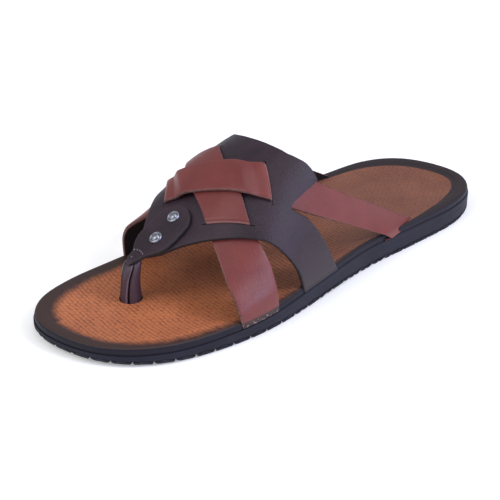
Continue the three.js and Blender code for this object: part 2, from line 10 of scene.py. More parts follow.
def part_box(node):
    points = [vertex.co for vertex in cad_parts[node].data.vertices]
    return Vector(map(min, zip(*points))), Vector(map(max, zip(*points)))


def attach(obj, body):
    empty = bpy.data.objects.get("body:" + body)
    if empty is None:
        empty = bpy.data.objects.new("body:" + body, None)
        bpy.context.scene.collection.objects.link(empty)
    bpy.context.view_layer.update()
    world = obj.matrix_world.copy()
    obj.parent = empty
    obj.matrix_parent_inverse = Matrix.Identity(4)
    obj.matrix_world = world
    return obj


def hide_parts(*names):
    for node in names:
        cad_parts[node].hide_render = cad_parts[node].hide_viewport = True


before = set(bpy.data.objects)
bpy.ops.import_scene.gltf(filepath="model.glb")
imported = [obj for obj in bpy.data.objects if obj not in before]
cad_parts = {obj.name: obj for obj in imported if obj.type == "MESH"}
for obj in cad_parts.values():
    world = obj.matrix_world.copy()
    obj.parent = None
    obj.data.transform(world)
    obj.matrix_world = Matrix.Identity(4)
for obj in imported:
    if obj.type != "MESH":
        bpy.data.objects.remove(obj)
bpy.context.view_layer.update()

# A man's left thong sandal: lugged rubber outsole, embossed footbed, saddle vamp with four slits, two straps
# woven through them, a riveted leaf tab and a toe post. Sizes are millimetres in the CAD source's own frame.
MM = 0.001
LENGTH = 285.0
FOOTBED_THICK = 3.4
FOOTBED_DISH = 2.0
GAP = 0.3
LAYER_GAP = 0.4
VAMP_THICK = 2.0
STRAP_THICK = 1.8
TAB_THICK = 1.8
TREAD_DEPTH = 1.3
LUG_PITCH = 10.5
POST_X = -5.8

# The CAD's origin is the middle of its footprint: the toe post's box tells how far that moved the sandal
post_low, post_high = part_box("toe_post")
CAD_SHIFT = np.array([(post_low.x + post_high.x) / 2 / MM - POST_X, 0.0, 0.0])


# Camera: the photograph's viewpoint, aimed at the one sandal
PHOTO_CAMERA = (449.5, -399.5, 338.4)
CAMERA_AIM = (-7.7, -14.5, 10.5)
CAMERA_LENS = 90.0


def place_camera():
    """The photograph's viewpoint, looking at the middle of the sandal."""
    camera = bpy.data.objects.new("camera", bpy.data.cameras.new("camera"))
    camera.data.lens = CAMERA_LENS
    camera.location = Vector(PHOTO_CAMERA) * MM
    towards = Vector(CAMERA_AIM) * MM - camera.location
    camera.rotation_euler = towards.to_track_quat("-Z", "Y").to_euler()
    bpy.context.scene.collection.objects.link(camera)
    bpy.context.scene.camera = camera


def table(columns, rows, **others):
    """Rows of numbers as values with names, and the others that a row leaves out."""
    return [{**others, **dict(zip(columns.split(), row))} for row in rows]


# Plan of the sole: distance of each edge from the long axis, by share of the length from the toe
SOLE_PLAN = table("along outer inner", [
    (0.00, -8.5, -8.5), (0.04, 26.9, -32.0), (0.12, 45.2, -40.6), (0.22, 52.8, -42.6),
    (0.34, 54.2, -42.4), (0.48, 48.2, -42.0), (0.62, 41.0, -41.4), (0.76, 38.8, -40.7),
    (0.88, 36.0, -39.2), (0.96, 27.0, -26.9), (1.00, 4.2, 4.2),
])

# Heights of the footbed's rim and of the lug tips
SOLE_SIDE = table("along rim tread", [
    (0.00, 9.8, 2.6), (0.12, 9.8, 0.9), (0.30, 10.9, 0.0), (0.42, 13.2, 0.0), (0.52, 14.8, 0.8),
    (0.62, 15.5, 0.0), (0.90, 14.9, 0.0), (1.00, 14.2, 2.0),
])

# The foot's instep: height and sideways place of the crown, and how square the outer shoulder is
INSTEP = table("y height centre outer_power", [
    (-94, 27.0, -3.2, 1.11), (-80, 33.6, -0.5, 1.11), (-60, 45.3, 3.6, 1.11), (-30, 64.9, 9.6, 1.11),
    (0, 76.9, 15.0, 1.28), (30, 82.0, 20.5, 1.45),
])
INNER_POWER = 0.36
SECTION_STEPS = 40


def cubic(start, end, leave, arrive, t):
    """A cubic from start to end as t goes from 0 to 1, with its slopes on leaving and arriving."""
    rise = end - start
    return start + t * (leave + t * (3 * rise - 2 * leave - arrive + t * (leave + arrive - 2 * rise)))


def hermite(keys, values, tangents, at):
    """A curve of cubics through the values, with the tangents given."""
    at = np.asarray(at, float)
    i = np.clip(np.searchsorted(keys, at, side="right") - 1, 0, len(keys) - 2)
    span = keys[i + 1] - keys[i]
    return cubic(values[i], values[i + 1], tangents[i] * span, tangents[i + 1] * span, (at - keys[i]) / span)


def run_along(line):
    """The distance along a line of points, from its first point."""
    return np.concatenate([[0], np.cumsum(np.linalg.norm(np.diff(line, axis=0), axis=1))])


def bell(distance, width):
    """1 at no distance, and falling smoothly towards 0 past a width."""
    return np.exp(-((distance / width) ** 2))


def read_table(rows, key, column, at):
    """A table's column at any place, by a monotone cubic through its rows."""
    keys = np.array([row[key] for row in rows], float)
    values = np.array([row[column] for row in rows], float)
    slopes = np.diff(values) / np.diff(keys)
    before, after = slopes[:-1], slopes[1:]
    turning = before * after <= 0
    safe = np.where(turning, 1.0, before + after)
    inner = np.where(turning, 0.0, 2 * before * after / safe)
    tangents = np.concatenate([slopes[:1], inner, slopes[-1:]])
    return hermite(keys, values, tangents, np.clip(at, keys[0], keys[-1]))


def angle_of(along):
    """The angle round the sole at a share of its length."""
    return np.arccos(1 - 2 * np.clip(along, 0, 1))


def closed_outline():
    """Angles round the sole, 0 at the toe and positive on the outer side, with x and its tangent at each."""
    angles = [-float(angle_of(row["along"])) for row in SOLE_PLAN[:0:-1]]
    angles += [float(angle_of(row["along"])) for row in SOLE_PLAN]
    places = [row["inner"] for row in SOLE_PLAN[:0:-1]] + [row["outer"] for row in SOLE_PLAN]
    turn = 2 * math.pi
    wide_angles = np.array([angles[-2] - turn] + angles + [angles[1] + turn])
    wide_places = np.array([places[-2]] + places + [places[1]])
    tangents = (wide_places[2:] - wide_places[:-2]) / (wide_angles[2:] - wide_angles[:-2])
    return np.array(angles), np.array(places), tangents


OUTLINE = closed_outline()


def outline_x(angle):
    """x of the sole's outline at an angle round it."""
    return hermite(*OUTLINE, angle)


def share_at(y):
    """The share of the sole's length from the toe."""
    return np.asarray(y, float) / LENGTH + 0.5


def rim_height(y):
    return read_table(SOLE_SIDE, "along", "rim", share_at(y))


def tread_height(y):
    return read_table(SOLE_SIDE, "along", "tread", share_at(y))


def shelf_height(y):
    return rim_height(y) - FOOTBED_THICK


# The instep as a fine grid, read between its lines
GRID_Y = np.arange(-106.0, 87.0, 1.0)
GRID_HALF = 200
JUST_INSIDE = 0.001
NORMAL_STEP = {"around": 0.03, "y": 2}

# The part of the instep near the crown, on which the tab, the post and the rivets lie
CROWN_REACH = 0.6
HALVINGS = 24


def instep_grid():
    """x and z on each line of the grid, from the inner foot over the crown to the outer foot."""
    lean = (math.pi / 2) * (1 - (1 - np.arange(SECTION_STEPS + 1) / SECTION_STEPS) ** 2)
    centre = read_table(INSTEP, "y", "centre", GRID_Y)
    rim = rim_height(GRID_Y)
    rise = read_table(INSTEP, "y", "height", GRID_Y) - rim
    shelf = shelf_height(GRID_Y) + GAP
    outer_power = read_table(INSTEP, "y", "outer_power", GRID_Y)
    shares = np.linspace(0, 1, GRID_HALF + 1)
    grid = np.zeros((len(GRID_Y), 2 * GRID_HALF + 1, 2))
    for k, y in enumerate(GRID_Y):
        for side in (-1, 1):
            edge = outline_x(side * angle_of(share_at(y)))
            power = outer_power[k] if side > 0 else INNER_POWER
            x = centre[k] + (edge - centre[k]) * np.sin(lean)
            z = rim[k] + rise[k] * np.maximum(0, np.cos(lean)) ** power
            x = np.append(x, edge)
            z = np.append(z, shelf[k])
            run = np.concatenate([[0], np.cumsum(np.hypot(np.diff(x), np.diff(z)))])
            places = shares * run[-1]
            line = np.stack([np.interp(places, run, x), np.interp(places, run, z)], axis=1)
            if side > 0:
                grid[k, GRID_HALF:] = line
            else:
                grid[k, : GRID_HALF + 1] = line[::-1]
    return grid


INSTEP_GRID = instep_grid()


def on_instep(around, y):
    """Points on the instep: around is -1 at the inner foot, 0 on the crown and +1 at the outer foot."""
    around, y = np.broadcast_arrays(np.asarray(around, float), np.asarray(y, float))
    row = np.clip(y - GRID_Y[0], 0, len(GRID_Y) - 1 - JUST_INSIDE)
    column = np.clip((around + 1) * GRID_HALF, 0, 2 * GRID_HALF - JUST_INSIDE)
    r, c = row.astype(int), column.astype(int)
    v, u = (row - r)[..., None], (column - c)[..., None]
    near = INSTEP_GRID[r, c] * (1 - u) + INSTEP_GRID[r, c + 1] * u
    far = INSTEP_GRID[r + 1, c] * (1 - u) + INSTEP_GRID[r + 1, c + 1] * u
    flat = near * (1 - v) + far * v
    return np.stack([flat[..., 0], y, flat[..., 1]], axis=-1)


def instep_normal(around, y):
    """Directions square to the instep, away from the foot."""
    around, y = np.broadcast_arrays(np.asarray(around, float), np.asarray(y, float))
    aside, ahead = NORMAL_STEP["around"], NORMAL_STEP["y"]
    across = on_instep(np.minimum(1, around + aside), y) - on_instep(np.maximum(-1, around - aside), y)
    forward = on_instep(around, y + ahead) - on_instep(around, y - ahead)
    normal = np.cross(across, forward)
    return normal / np.linalg.norm(normal, axis=-1, keepdims=True)


def lifted(around, y, level):
    """Points off the instep's outer surface by a level, negative towards the foot."""
    return on_instep(around, y) + instep_normal(around, y) * np.asarray(level, float)[..., None]


def around_at(x, y):
    """The place around the instep of points that lie x from the long axis, near the crown."""
    low = np.full(np.shape(x), -CROWN_REACH)
    high = np.full(np.shape(x), CROWN_REACH)
    for _ in range(HALVINGS):
        middle = (low + high) / 2
        left = on_instep(middle, y)[..., 0] < x
        low = np.where(left, middle, low)
        high = np.where(left, high, middle)
    return (low + high) / 2


# Meshes
def loops_to_faces(rows, count, caps=True):
    """Quads between closed loops of points, and a cap over the first and last loop."""
    faces = []
    for r in range(rows - 1):
        for i in range(count):
            a, b = r * count + i, r * count + (i + 1) % count
            faces.append((a, b, b + count, a + count))
    if caps:
        faces.append(tuple(range(count))[::-1])
        faces.append(tuple((rows - 1) * count + i for i in range(count)))
    return faces


def make_mesh(name, points, faces, materials, face_slots=None, values=None):
    """A smooth-shaded mesh object in metres, with its materials and its named vertex values."""
    points = (np.asarray(points, float).reshape(-1, 3) + CAD_SHIFT) * MM
    mesh = bpy.data.meshes.new(name)
    mesh.from_pydata(points.tolist(), [], [list(face) for face in faces])
    for material in materials:
        mesh.materials.append(material)
    if face_slots is not None:
        mesh.polygons.foreach_set("material_index", np.asarray(face_slots, np.int32))
    for key, numbers in (values or {}).items():
        layer = mesh.attributes.new(key, "FLOAT", "POINT")
        layer.data.foreach_set("value", np.asarray(numbers, np.float32).ravel())
    mesh.polygons.foreach_set("use_smooth", np.ones(len(mesh.polygons), bool))
    piece = bpy.data.objects.new(name, mesh)
    bpy.context.scene.collection.objects.link(piece)
    return piece


# Corners sharper than this many degrees stay sharp
SHARP_ANGLE = 42


def face_out(piece):
    """Turns a closed mesh's faces outwards and keeps its corners sharp."""
    bpy.context.view_layer.objects.active = piece
    bpy.ops.object.select_all(action="DESELECT")
    piece.select_set(True)
    bpy.ops.object.mode_set(mode="EDIT")
    bpy.ops.mesh.select_all(action="SELECT")
    bpy.ops.mesh.normals_make_consistent(inside=False)
    bpy.ops.object.mode_set(mode="OBJECT")
    bpy.ops.object.shade_smooth_by_angle(angle=math.radians(SHARP_ANGLE), keep_sharp_edges=False)


def apply_modifiers(piece):
    """Keeps what a piece's modifiers make of its mesh, in place of the modifiers."""
    bpy.context.view_layer.update()
    evaluated = piece.evaluated_get(bpy.context.evaluated_depsgraph_get())
    mesh = bpy.data.meshes.new_from_object(evaluated)
    piece.modifiers.clear()
    piece.data = mesh


def cut_away(piece, cutters):
    """Subtracts solids from a piece and deletes them."""
    for cutter in cutters:
        face_out(cutter)
        cut = piece.modifiers.new("cut", "BOOLEAN")
        cut.operation = "DIFFERENCE"
        cut.solver = "MANIFOLD"
        cut.object = cutter
        apply_modifiers(piece)
        bpy.data.objects.remove(cutter)


# How many old vertices give a new one its value, and the distance in metres that counts as the same place
NEAREST = 3
NEARNESS = 1e-6


def carry_over(piece, key, points, numbers):
    """Gives a cut piece's vertices the value of the nearest vertices that it had before."""
    tree = KDTree(len(points))
    for i, point in enumerate((points + CAD_SHIFT) * MM):
        tree.insert(point, i)
    tree.balance()
    values = []
    for vertex in piece.data.vertices:
        near = tree.find_n(vertex.co, NEAREST)
        weights = [1 / (distance + NEARNESS) for _, _, distance in near]
        values.append(sum(w * numbers[i] for w, (_, i, _) in zip(weights, near)) / sum(weights))
    layer = piece.data.attributes.new(key, "FLOAT", "POINT")
    layer.data.foreach_set("value", np.array(values, np.float32))


def finish_piece(piece, node):
    """The piece rides on the sandal's one body and stands for its CAD node, which it hides."""
    face_out(piece)
    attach(piece, "root")
    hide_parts(node)


# A leather strip's cut edge, from its flesh side to its face: distance in from the edge and share of height
EDGE_CURVE = [(0.3, 0.0), (0.04, 0.14), (0.0, 0.4), (0.0, 0.7), (0.1, 0.87), (0.34, 0.97), (0.8, 1.0)]
FACE, EDGE, FLESH = 0, 1, 2


def make_cutter(loops, materials, past_feet=0.0):
    """A solid to cut away, between closed loops of points, and run on down past its first and last loop. The
    faces that it leaves are cut edges."""
    loops = np.asarray(loops)
    if past_feet:
        below = np.array([0.0, 0.0, past_feet])
        loops = np.concatenate([[loops[0] - below], loops, [loops[-1] - below]])
    faces = loops_to_faces(len(loops), loops.shape[1])
    return make_mesh("cutter", loops, faces, materials, [EDGE] * len(faces))


def strip_section(width, across):
    """Shares across a strip and shares of its height, once round its section, for an array of widths."""
    width = np.asarray(width, float)[:, None]
    inset = np.array([row[0] for row in EDGE_CURVE])[None, :]
    height = np.array([row[1] for row in EDGE_CURVE])
    front = inset / width
    rear = 1 - front[:, ::-1]
    between = np.linspace(0, 1, across + 2)[1:-1][None, :]
    top = front[:, -1:] + (rear[:, :1] - front[:, -1:]) * between
    bottom = rear[:, -1:] + (front[:, :1] - rear[:, -1:]) * between
    shares = np.concatenate([front, top, rear, bottom], axis=1)
    heights = np.concatenate([height, np.ones(across), height[::-1], np.zeros(across)])
    return shares, np.broadcast_to(heights, (len(width), len(heights)))


def strip_slots(rows, across):
    """The slot of each face of a strip: its face, its cut edge or its flesh side."""
    edge = len(EDGE_CURVE) - 1
    row = [EDGE] * (edge - 1) + [FACE] * (across + 3) + [EDGE] * (edge - 1) + [FLESH] * (across + 1)
    return row * (rows - 1) + [EDGE, EDGE]


# Vamp: its front and rear edges, by place around the instep
VAMP_EDGES = table("around front rear", [
    (-1.00, -24, 5), (-0.84, -27, -1.5), (-0.69, -36.5, -8), (-0.615, -44.5, -11.5), (-0.56, -50, 4.5),
    (-0.445, -61.5, -2), (-0.33, -71, -6), (-0.2, -79, -7.5), (-0.1, -82.6, -7.8), (-0.02, -83.8, -8),
    (0.06, -80, -7.6), (0.135, -71.5, -5), (0.21, -64.8, -1.5), (0.33, -55, 0.8), (0.405, -48.8, -20),
    (0.53, -39, -12.5), (0.67, -32, -6), (0.835, -25.5, 0), (1.00, -22, 6),
])
VAMP_COLUMN_STEP = 0.008
VAMP_ACROSS = 44

# The holes for the vamp's feet: columns and points of their cutter, and how far a cutter runs on past a foot
CUTTER_COLUMNS = 80
CUTTER_ACROSS = 12
PAST_FEET = 1.5


def make_vamp(materials):
    """The upper before its slits are cut: a strip from the inner foot over the crown to the outer foot."""
    columns = []
    for start, end in zip(VAMP_EDGES[:-1], VAMP_EDGES[1:]):
        span = end["around"] - start["around"]
        parts = math.ceil(span / VAMP_COLUMN_STEP)
        columns += [start["around"] + span * k / parts for k in range(parts)]
    around = np.array(columns + [1.0])
    front = read_table(VAMP_EDGES, "around", "front", around)
    rear = read_table(VAMP_EDGES, "around", "rear", around)
    shares, heights = strip_section(rear - front, VAMP_ACROSS)
    y = front[:, None] + (rear - front)[:, None] * shares
    points = lifted(around[:, None] + 0 * y, y, (heights - 1) * VAMP_THICK)
    rows, count = y.shape
    vamp = make_mesh("vamp", points, loops_to_faces(rows, count), materials, strip_slots(rows, VAMP_ACROSS))
    face_out(vamp)
    return vamp


def vamp_cutter(materials):
    """The space that the vamp's two feet need in the footbed."""
    around = np.linspace(-1, 1, CUTTER_COLUMNS + 1)
    front = read_table(VAMP_EDGES, "around", "front", around) - GAP
    rear = read_table(VAMP_EDGES, "around", "rear", around) + GAP
    shares = np.linspace(0, 1, CUTTER_ACROSS)
    y = front[:, None] + (rear - front)[:, None] * np.concatenate([shares, shares[::-1]])
    level = np.repeat([GAP, -VAMP_THICK - GAP], len(shares)) + 0 * y
    loops = lifted(around[:, None] + 0 * y, y, level)
    return make_cutter(loops, materials, PAST_FEET)


# Straps: both edges' places on the instep, row by row from the front foot to the rear foot. Level is the
# lower face's height over the vamp's outer face: at the sole's edge, under the vamp, in a slit, over it.
# Tuck is how much further in a rear foot's rear edge stands than its front edge, and more so at its end.
FOOT = -VAMP_THICK
REAR_FOOT = -0.4
REAR_TUCK = 5.6
END_TUCK = REAR_TUCK + 2
UNDER = -VAMP_THICK - LAYER_GAP - STRAP_THICK
SLIT = -2.2
OVER = LAYER_GAP
OVER_BOTH = OVER + STRAP_THICK + LAYER_GAP
EDGE_PLACES = "front_around front_y rear_around rear_y"
STRAP_COLUMNS = EDGE_PLACES + " level tuck"

STRAP_UNDER_ROWS = table(STRAP_COLUMNS, [
    (1.00, -65.7, 1.00, -41.7, FOOT),
    (0.85, -67.0, 0.87, -42.0, FOOT),
    (0.60, -66.0, 0.695, -41.5, -3.4),
    (0.33, -61.5, 0.52, -42.5, UNDER),
    (0.20, -58.5, 0.42, -43.5, UNDER),
    (0.135, -56.5, 0.36, -43.0, SLIT),
    (0.06, -54.0, 0.29, -41.5, OVER),
    (-0.145, -48.0, 0.15, -37.5, OVER),
    (-0.27, -43.5, 0.00, -32.5, OVER),
    (-0.385, -38.5, -0.15, -28.5, OVER),
    (-0.49, -30.5, -0.285, -22.0, OVER),
    (-0.545, -24.5, -0.355, -17.5, SLIT),
    (-0.58, -19.5, -0.42, -13.0, UNDER),
    (-0.61, -11.5, -0.55, 2.5, UNDER),
    (-0.95, 46.5, -0.965, 74.3, REAR_FOOT, REAR_TUCK),
    (-1.00, 47.0, -1.00, 74.8, REAR_FOOT, END_TUCK),
], tuck=0.0)
STRAP_OVER_ROWS = table(STRAP_COLUMNS, [
    (-1.00, -70.0, -1.00, -46.0, FOOT),
    (-0.85, -70.5, -0.87, -46.0, FOOT),
    (-0.70, -70.5, -0.76, -46.0, -3.4),
    (-0.54, -66.5, -0.66, -46.5, UNDER),
    (-0.42, -60.5, -0.575, -45.5, UNDER),
    (-0.34, -57.0, -0.515, -44.0, SLIT),
    (-0.27, -54.0, -0.455, -42.0, OVER),
    (-0.17, -49.5, -0.40, -39.5, OVER_BOTH),
    (-0.01, -43.5, -0.27, -34.0, OVER_BOTH),
    (0.17, -36.5, -0.11, -27.0, OVER_BOTH),
    (0.25, -31.8, -0.005, -22.5, OVER),
    (0.31, -28.0, 0.06, -19.0, SLIT),
    (0.355, -24.5, 0.13, -14.5, UNDER),
    (0.40, -20.5, 0.32, -1.0, UNDER),
    (0.95, 46.5, 0.965, 74.3, REAR_FOOT, REAR_TUCK),
    (1.00, 47.0, 1.00, 74.8, REAR_FOOT, END_TUCK),
], tuck=0.0)
STRAP_STEPS = 12
STRAP_ACROSS = 12

# Up to this row a strap runs straight down to its rear foot, but for a bow where it leaves the vamp
STRAIGHT_ROW = 14
STRAIGHT_STEPS = 36
STRAP_BOW = 0.25

# A strap bends into a slit as late as this power makes it
SLIT_BEND = 9

# Rows crowd together near a slit by this power, and about this level in it the leather is stretched pale and
# painted with a highlight on its bend
SLIT_CROWD = 2.5
DRAWN_HIGHLIGHT_LEVEL = -1.2

# Height of the dark bound end of a front foot, and how softly it and the painted shade line above it fade.
# The vamp's feet are painted dark as shade up to the same height, fading over the last part of it.
SEWN_DEPTH = 2.7
SEWN_FADE = 0.4
SHADE_LINE_FADE = 0.45
VAMP_SHADE_FADE = 0.8


def blend_rows(rows, i, t):
    """A row between rows i and i + 1, on a smooth curve through the table."""
    last = i + 1 if i + 2 >= len(rows) or STRAIGHT_ROW in (i + 1, i + 2) else i + 2
    made = {}
    for column in EDGE_PLACES.split():
        start, end = rows[i][column], rows[i + 1][column]
        leave = (end - rows[max(0, i - 1)][column]) / 2
        made[column] = cubic(start, end, leave, (rows[last][column] - start) / 2, t)
    made["tuck"] = rows[i]["tuck"] + (rows[i + 1]["tuck"] - rows[i]["tuck"]) * t
    if rows[i + 1]["level"] == SLIT:
        eased = t**SLIT_BEND
    elif rows[i]["level"] == SLIT:
        eased = 1 - (1 - t) ** SLIT_BEND
    else:
        eased = t * t * (3 - 2 * t)
    made["level"] = rows[i]["level"] + (rows[i + 1]["level"] - rows[i]["level"]) * eased
    return made


def strap_loop(row, margin, across):
    """The section of a strap at a row, as one closed loop of points, a margin larger on every side."""
    front = on_instep(row["front_around"], row["front_y"])
    rear = on_instep(row["rear_around"], row["rear_y"])
    width = np.linalg.norm(front - rear)
    if margin:
        spare = margin / width
        ends = (-spare, 1 + spare)
        shares = np.concatenate([np.linspace(*ends, across), np.linspace(*ends[::-1], across)])
        heights = np.concatenate([np.ones(across), np.zeros(across)])
    else:
        shares, heights = strip_section([width], across)
        shares, heights = shares[0], heights[0]
    around = row["front_around"] + (row["rear_around"] - row["front_around"]) * shares
    y = row["front_y"] + (row["rear_y"] - row["front_y"]) * shares
    thick = STRAP_THICK + 2 * margin
    return lifted(around, y, row["level"] - row["tuck"] * shares - margin + heights * thick)


def strap_loops(rows, margin=0.0, steps=STRAP_STEPS, straight_steps=STRAIGHT_STEPS, across=STRAP_ACROSS):
    """Loops from the front foot to the rear foot, and how far each is drawn into a slit, where the leather is
    stretched pale and painted with a highlight.
    """
    loops, drawn_and_highlight = [], []
    for i in range(len(rows) - 1):
        if i + 1 == STRAIGHT_ROW:
            start = strap_loop(rows[i], margin, across)
            previous = strap_loop(blend_rows(rows, i - 1, 0.5), margin, across)
            chord = strap_loop(rows[i + 1], margin, across) - start
            leaving = start - previous
            leaving /= np.linalg.norm(leaving, axis=1, keepdims=True)
            bend = (leaving * np.linalg.norm(chord, axis=1, keepdims=True) - chord) * STRAP_BOW
            for k in range(straight_steps):
                t = k / straight_steps
                loops.append(start + chord * t + bend * t * (1 - t) ** 2)
                drawn_and_highlight.append(0.0)
        else:
            for k in range(steps):
                t = k / steps
                if rows[i + 1]["level"] == SLIT:
                    t = 1 - (1 - t) ** SLIT_CROWD
                elif rows[i]["level"] == SLIT:
                    t = t**SLIT_CROWD
                row = blend_rows(rows, i, t)
                loops.append(strap_loop(row, margin, across))
                ends = (rows[i]["level"], rows[i + 1]["level"])
                # How far the leather is stretched pale and painted with a highlight on its bend into a slit
                drawn_and_highlight.append(max(0.0, 1 - abs(row["level"] - DRAWN_HIGHLIGHT_LEVEL)) if SLIT in ends else 0.0)
    loops.append(strap_loop(rows[-1], margin, across))
    drawn_and_highlight.append(0.0)
    return np.array(loops), np.array(drawn_and_highlight)


def make_strap(name, rows, materials):
    """A strap, with how far each place is drawn into a slit, which paints it pale with stretch and a
    highlight, and its front foot's dark bound end and a painted shade line above that.
    """
    loops, drawn_and_highlight = strap_loops(rows)
    count = loops.shape[1]
    run = run_along(loops.mean(axis=1))
    # The first value paints the bend into a slit paler, as stretched leather and a painted highlight; the
    # last paints a near-black line of shade just above the bound end
    values = {"drawn_and_highlight": drawn_and_highlight, "sewn_in": np.clip((SEWN_DEPTH - run) / SEWN_FADE, 0, 1),
              "painted_shade": bell(run - SEWN_DEPTH, SHADE_LINE_FADE)}
    strap = make_mesh(name, loops, loops_to_faces(len(loops), count), materials,
                      strip_slots(len(loops), STRAP_ACROSS),
                      {key: np.repeat(numbers, count) for key, numbers in values.items()})
    finish_piece(strap, name)


def strap_cutter(rows, materials):
    """The space that a strap needs, with the gap on every side, run on down past its feet."""
    loops, _ = strap_loops(rows, GAP, steps=8, straight_steps=8, across=5)
    return make_cutter(loops, materials, PAST_FEET)


# Slits: each runs on a little past both sides of its strap, and through the vamp from a level below its outer
# face to one above it
SLIT_SPARE = 2.4
SLIT_WIDTH = 0.45
SLIT_FROM = -4.0
SLIT_TO = 1.5
SLIT_STEPS = 8


def slit_cutter(row, onward, materials):
    """A thin slab through the vamp along a strap's row, onward being the next row."""
    front = np.array([row["front_around"], row["front_y"]])
    rear = np.array([row["rear_around"], row["rear_y"]])
    width = np.linalg.norm(on_instep(*front) - on_instep(*rear))
    step = np.array([onward["front_around"], onward["front_y"]]) - front
    length = np.linalg.norm(on_instep(*(front + step)) - on_instep(*front))
    side = step / length * SLIT_WIDTH / 2
    shares = np.linspace(-SLIT_SPARE / width, 1 + SLIT_SPARE / width, SLIT_STEPS + 1)
    loops = []
    for share in shares:
        middle = front + (rear - front) * share
        corners = [(middle - side, SLIT_FROM), (middle + side, SLIT_FROM), (middle + side, SLIT_TO),
                   (middle - side, SLIT_TO)]
        loops.append([lifted(place[0], place[1], level) for place, level in corners])
    return make_cutter(loops, materials)


def make_upper(dark, red):
    """The vamp with its slits and its feet painted dark as shade, and both straps woven through it."""
    vamp = make_vamp(dark)
    cutters = [strap_cutter(rows, dark) for rows in (STRAP_UNDER_ROWS, STRAP_OVER_ROWS)]
    for rows in (STRAP_UNDER_ROWS, STRAP_OVER_ROWS):
        for i, row in enumerate(rows):
            if row["level"] == SLIT:
                cutters.append(slit_cutter(row, rows[i + 1], dark))
    points = np.array([vertex.co for vertex in vamp.data.vertices]) / MM - CAD_SHIFT
    height = points[:, 2] - shelf_height(points[:, 1])
    cut_away(vamp, cutters)
    # Painted shade: the vamp is darkened nearly black on its feet, up to the bound ends' height over the
    # sole's shelf, as shade where it goes into the sole
    carry_over(vamp, "painted_shade", points, np.clip((SEWN_DEPTH - height) / VAMP_SHADE_FADE, 0, 1))
    finish_piece(vamp, "vamp")
    make_strap("strap_under", STRAP_UNDER_ROWS, red)
    make_strap("strap_over", STRAP_OVER_ROWS, red)


# Leaf tab over the vamp's nose, from its narrow tail on the toe post to its broad rounded end: half its width
# along its own length
TAB_START = -90.0
TAB_END = -55.4
TAB_CENTRE = (-5.0, -3.9)
TAB_SHAPE = table("share half", [
    (0.00, 2.6), (0.02, 3.3), (0.06, 3.8), (0.13, 4.6), (0.205, 6.9), (0.30, 9.6), (0.43, 11.3),
    (0.62, 11.6), (0.75, 11.4), (0.83, 10.5), (0.92, 7.9), (0.965, 5.2), (0.99, 2.9), (1.00, 1.2),
])
TAB_ROWS = 60
TAB_CROWD = 1.5
TAB_ACROSS = 16
TAB_LIFT = 0.1
NECK_ROWS = 8
NECK_RADIUS = 1.9
NECK_TURN = 62
NECK_NARROWING = 0.75

# The tail's stitches: each one's place, and its turn in degrees from straight across the tab
TAIL_STITCHES = table("x y turn", [
    (-8.2, -84.9, 20), (-6.6, -84.2, 12), (-5.0, -83.9, 0), (-3.4, -84.0, -12), (-1.8, -84.5, -20),
    (-5.6, -88.6, 4),
])
STITCH_HALF = 0.5
STITCH_RADIUS = 0.34
STITCH_BOW = 0.12
STITCH_BLUNT = 0.04
STITCH_RINGS = 7
STITCH_SIDES = 6
THREAD = 3


def add_stitches(points, faces, slots):
    """Short waxed threads half sunk in the tab's tail, each a bowed tube with blunt ends."""
    for row in TAIL_STITCHES:
        turn = math.radians(row["turn"])
        start = len(points)
        for k in range(STITCH_RINGS):
            along = 2 * k / (STITCH_RINGS - 1) - 1
            x = row["x"] + STITCH_HALF * along * math.cos(turn)
            y = row["y"] + STITCH_HALF * along * math.sin(turn)
            bow = STITCH_BOW * (1 - along * along)
            radius = STITCH_RADIUS * math.sqrt(max(STITCH_BLUNT, 1 - along**4))
            for i in range(STITCH_SIDES):
                around = 2 * math.pi * i / STITCH_SIDES
                level = LAYER_GAP + TAB_THICK + bow + radius * math.sin(around)
                wide = radius * math.cos(around)
                place = (x - wide * math.sin(turn), y + wide * math.cos(turn))
                points.append(lifted(around_at(np.array(place[0]), place[1]), place[1], level).tolist())
        tube = loops_to_faces(STITCH_RINGS, STITCH_SIDES)
        made = [tuple(start + corner for corner in face) for face in tube]
        faces.extend(made)
        slots.extend([THREAD] * len(made))


def make_tab(materials):
    """The leaf, its tail turned down over the toe post's top, and the stitches through the tail."""
    share = 1 - (1 - np.linspace(0, 1, TAB_ROWS)) ** TAB_CROWD
    y = TAB_START + (TAB_END - TAB_START) * share
    half = read_table(TAB_SHAPE, "share", "half", share)
    centre = TAB_CENTRE[0] + (TAB_CENTRE[1] - TAB_CENTRE[0]) * share
    shares, heights = strip_section(2 * half, TAB_ACROSS)
    x = centre[:, None] + half[:, None] * (2 * shares - 1)
    wide_y = y[:, None] + 0 * x
    leaf = lifted(around_at(x, wide_y), wide_y, TAB_LIFT + (LAYER_GAP + TAB_THICK - TAB_LIFT) * heights)
    first = leaf[0]
    slope = leaf[1].mean(axis=0) - first.mean(axis=0)
    slope /= np.linalg.norm(slope)
    pivot = first.mean(axis=0) - np.array([0, -slope[2], slope[1]]) * NECK_RADIUS
    across, ahead, up = (first - pivot).T
    neck = []
    for k in range(NECK_ROWS, 0, -1):
        turn = math.radians(NECK_TURN) * k / NECK_ROWS
        narrow = math.sqrt(1 - NECK_NARROWING * (k / NECK_ROWS) ** 2)
        turned_ahead = ahead * math.cos(turn) - up * math.sin(turn)
        turned_up = ahead * math.sin(turn) + up * math.cos(turn)
        neck.append(np.column_stack([across * narrow, turned_ahead, turned_up]) + pivot)
    loops = np.concatenate([neck, leaf])
    points = loops.reshape(-1, 3).tolist()
    faces = loops_to_faces(len(loops), loops.shape[1])
    slots = strip_slots(len(loops), TAB_ACROSS)
    add_stitches(points, faces, slots)
    finish_piece(make_mesh("tab", points, faces, materials, slots), "tab")


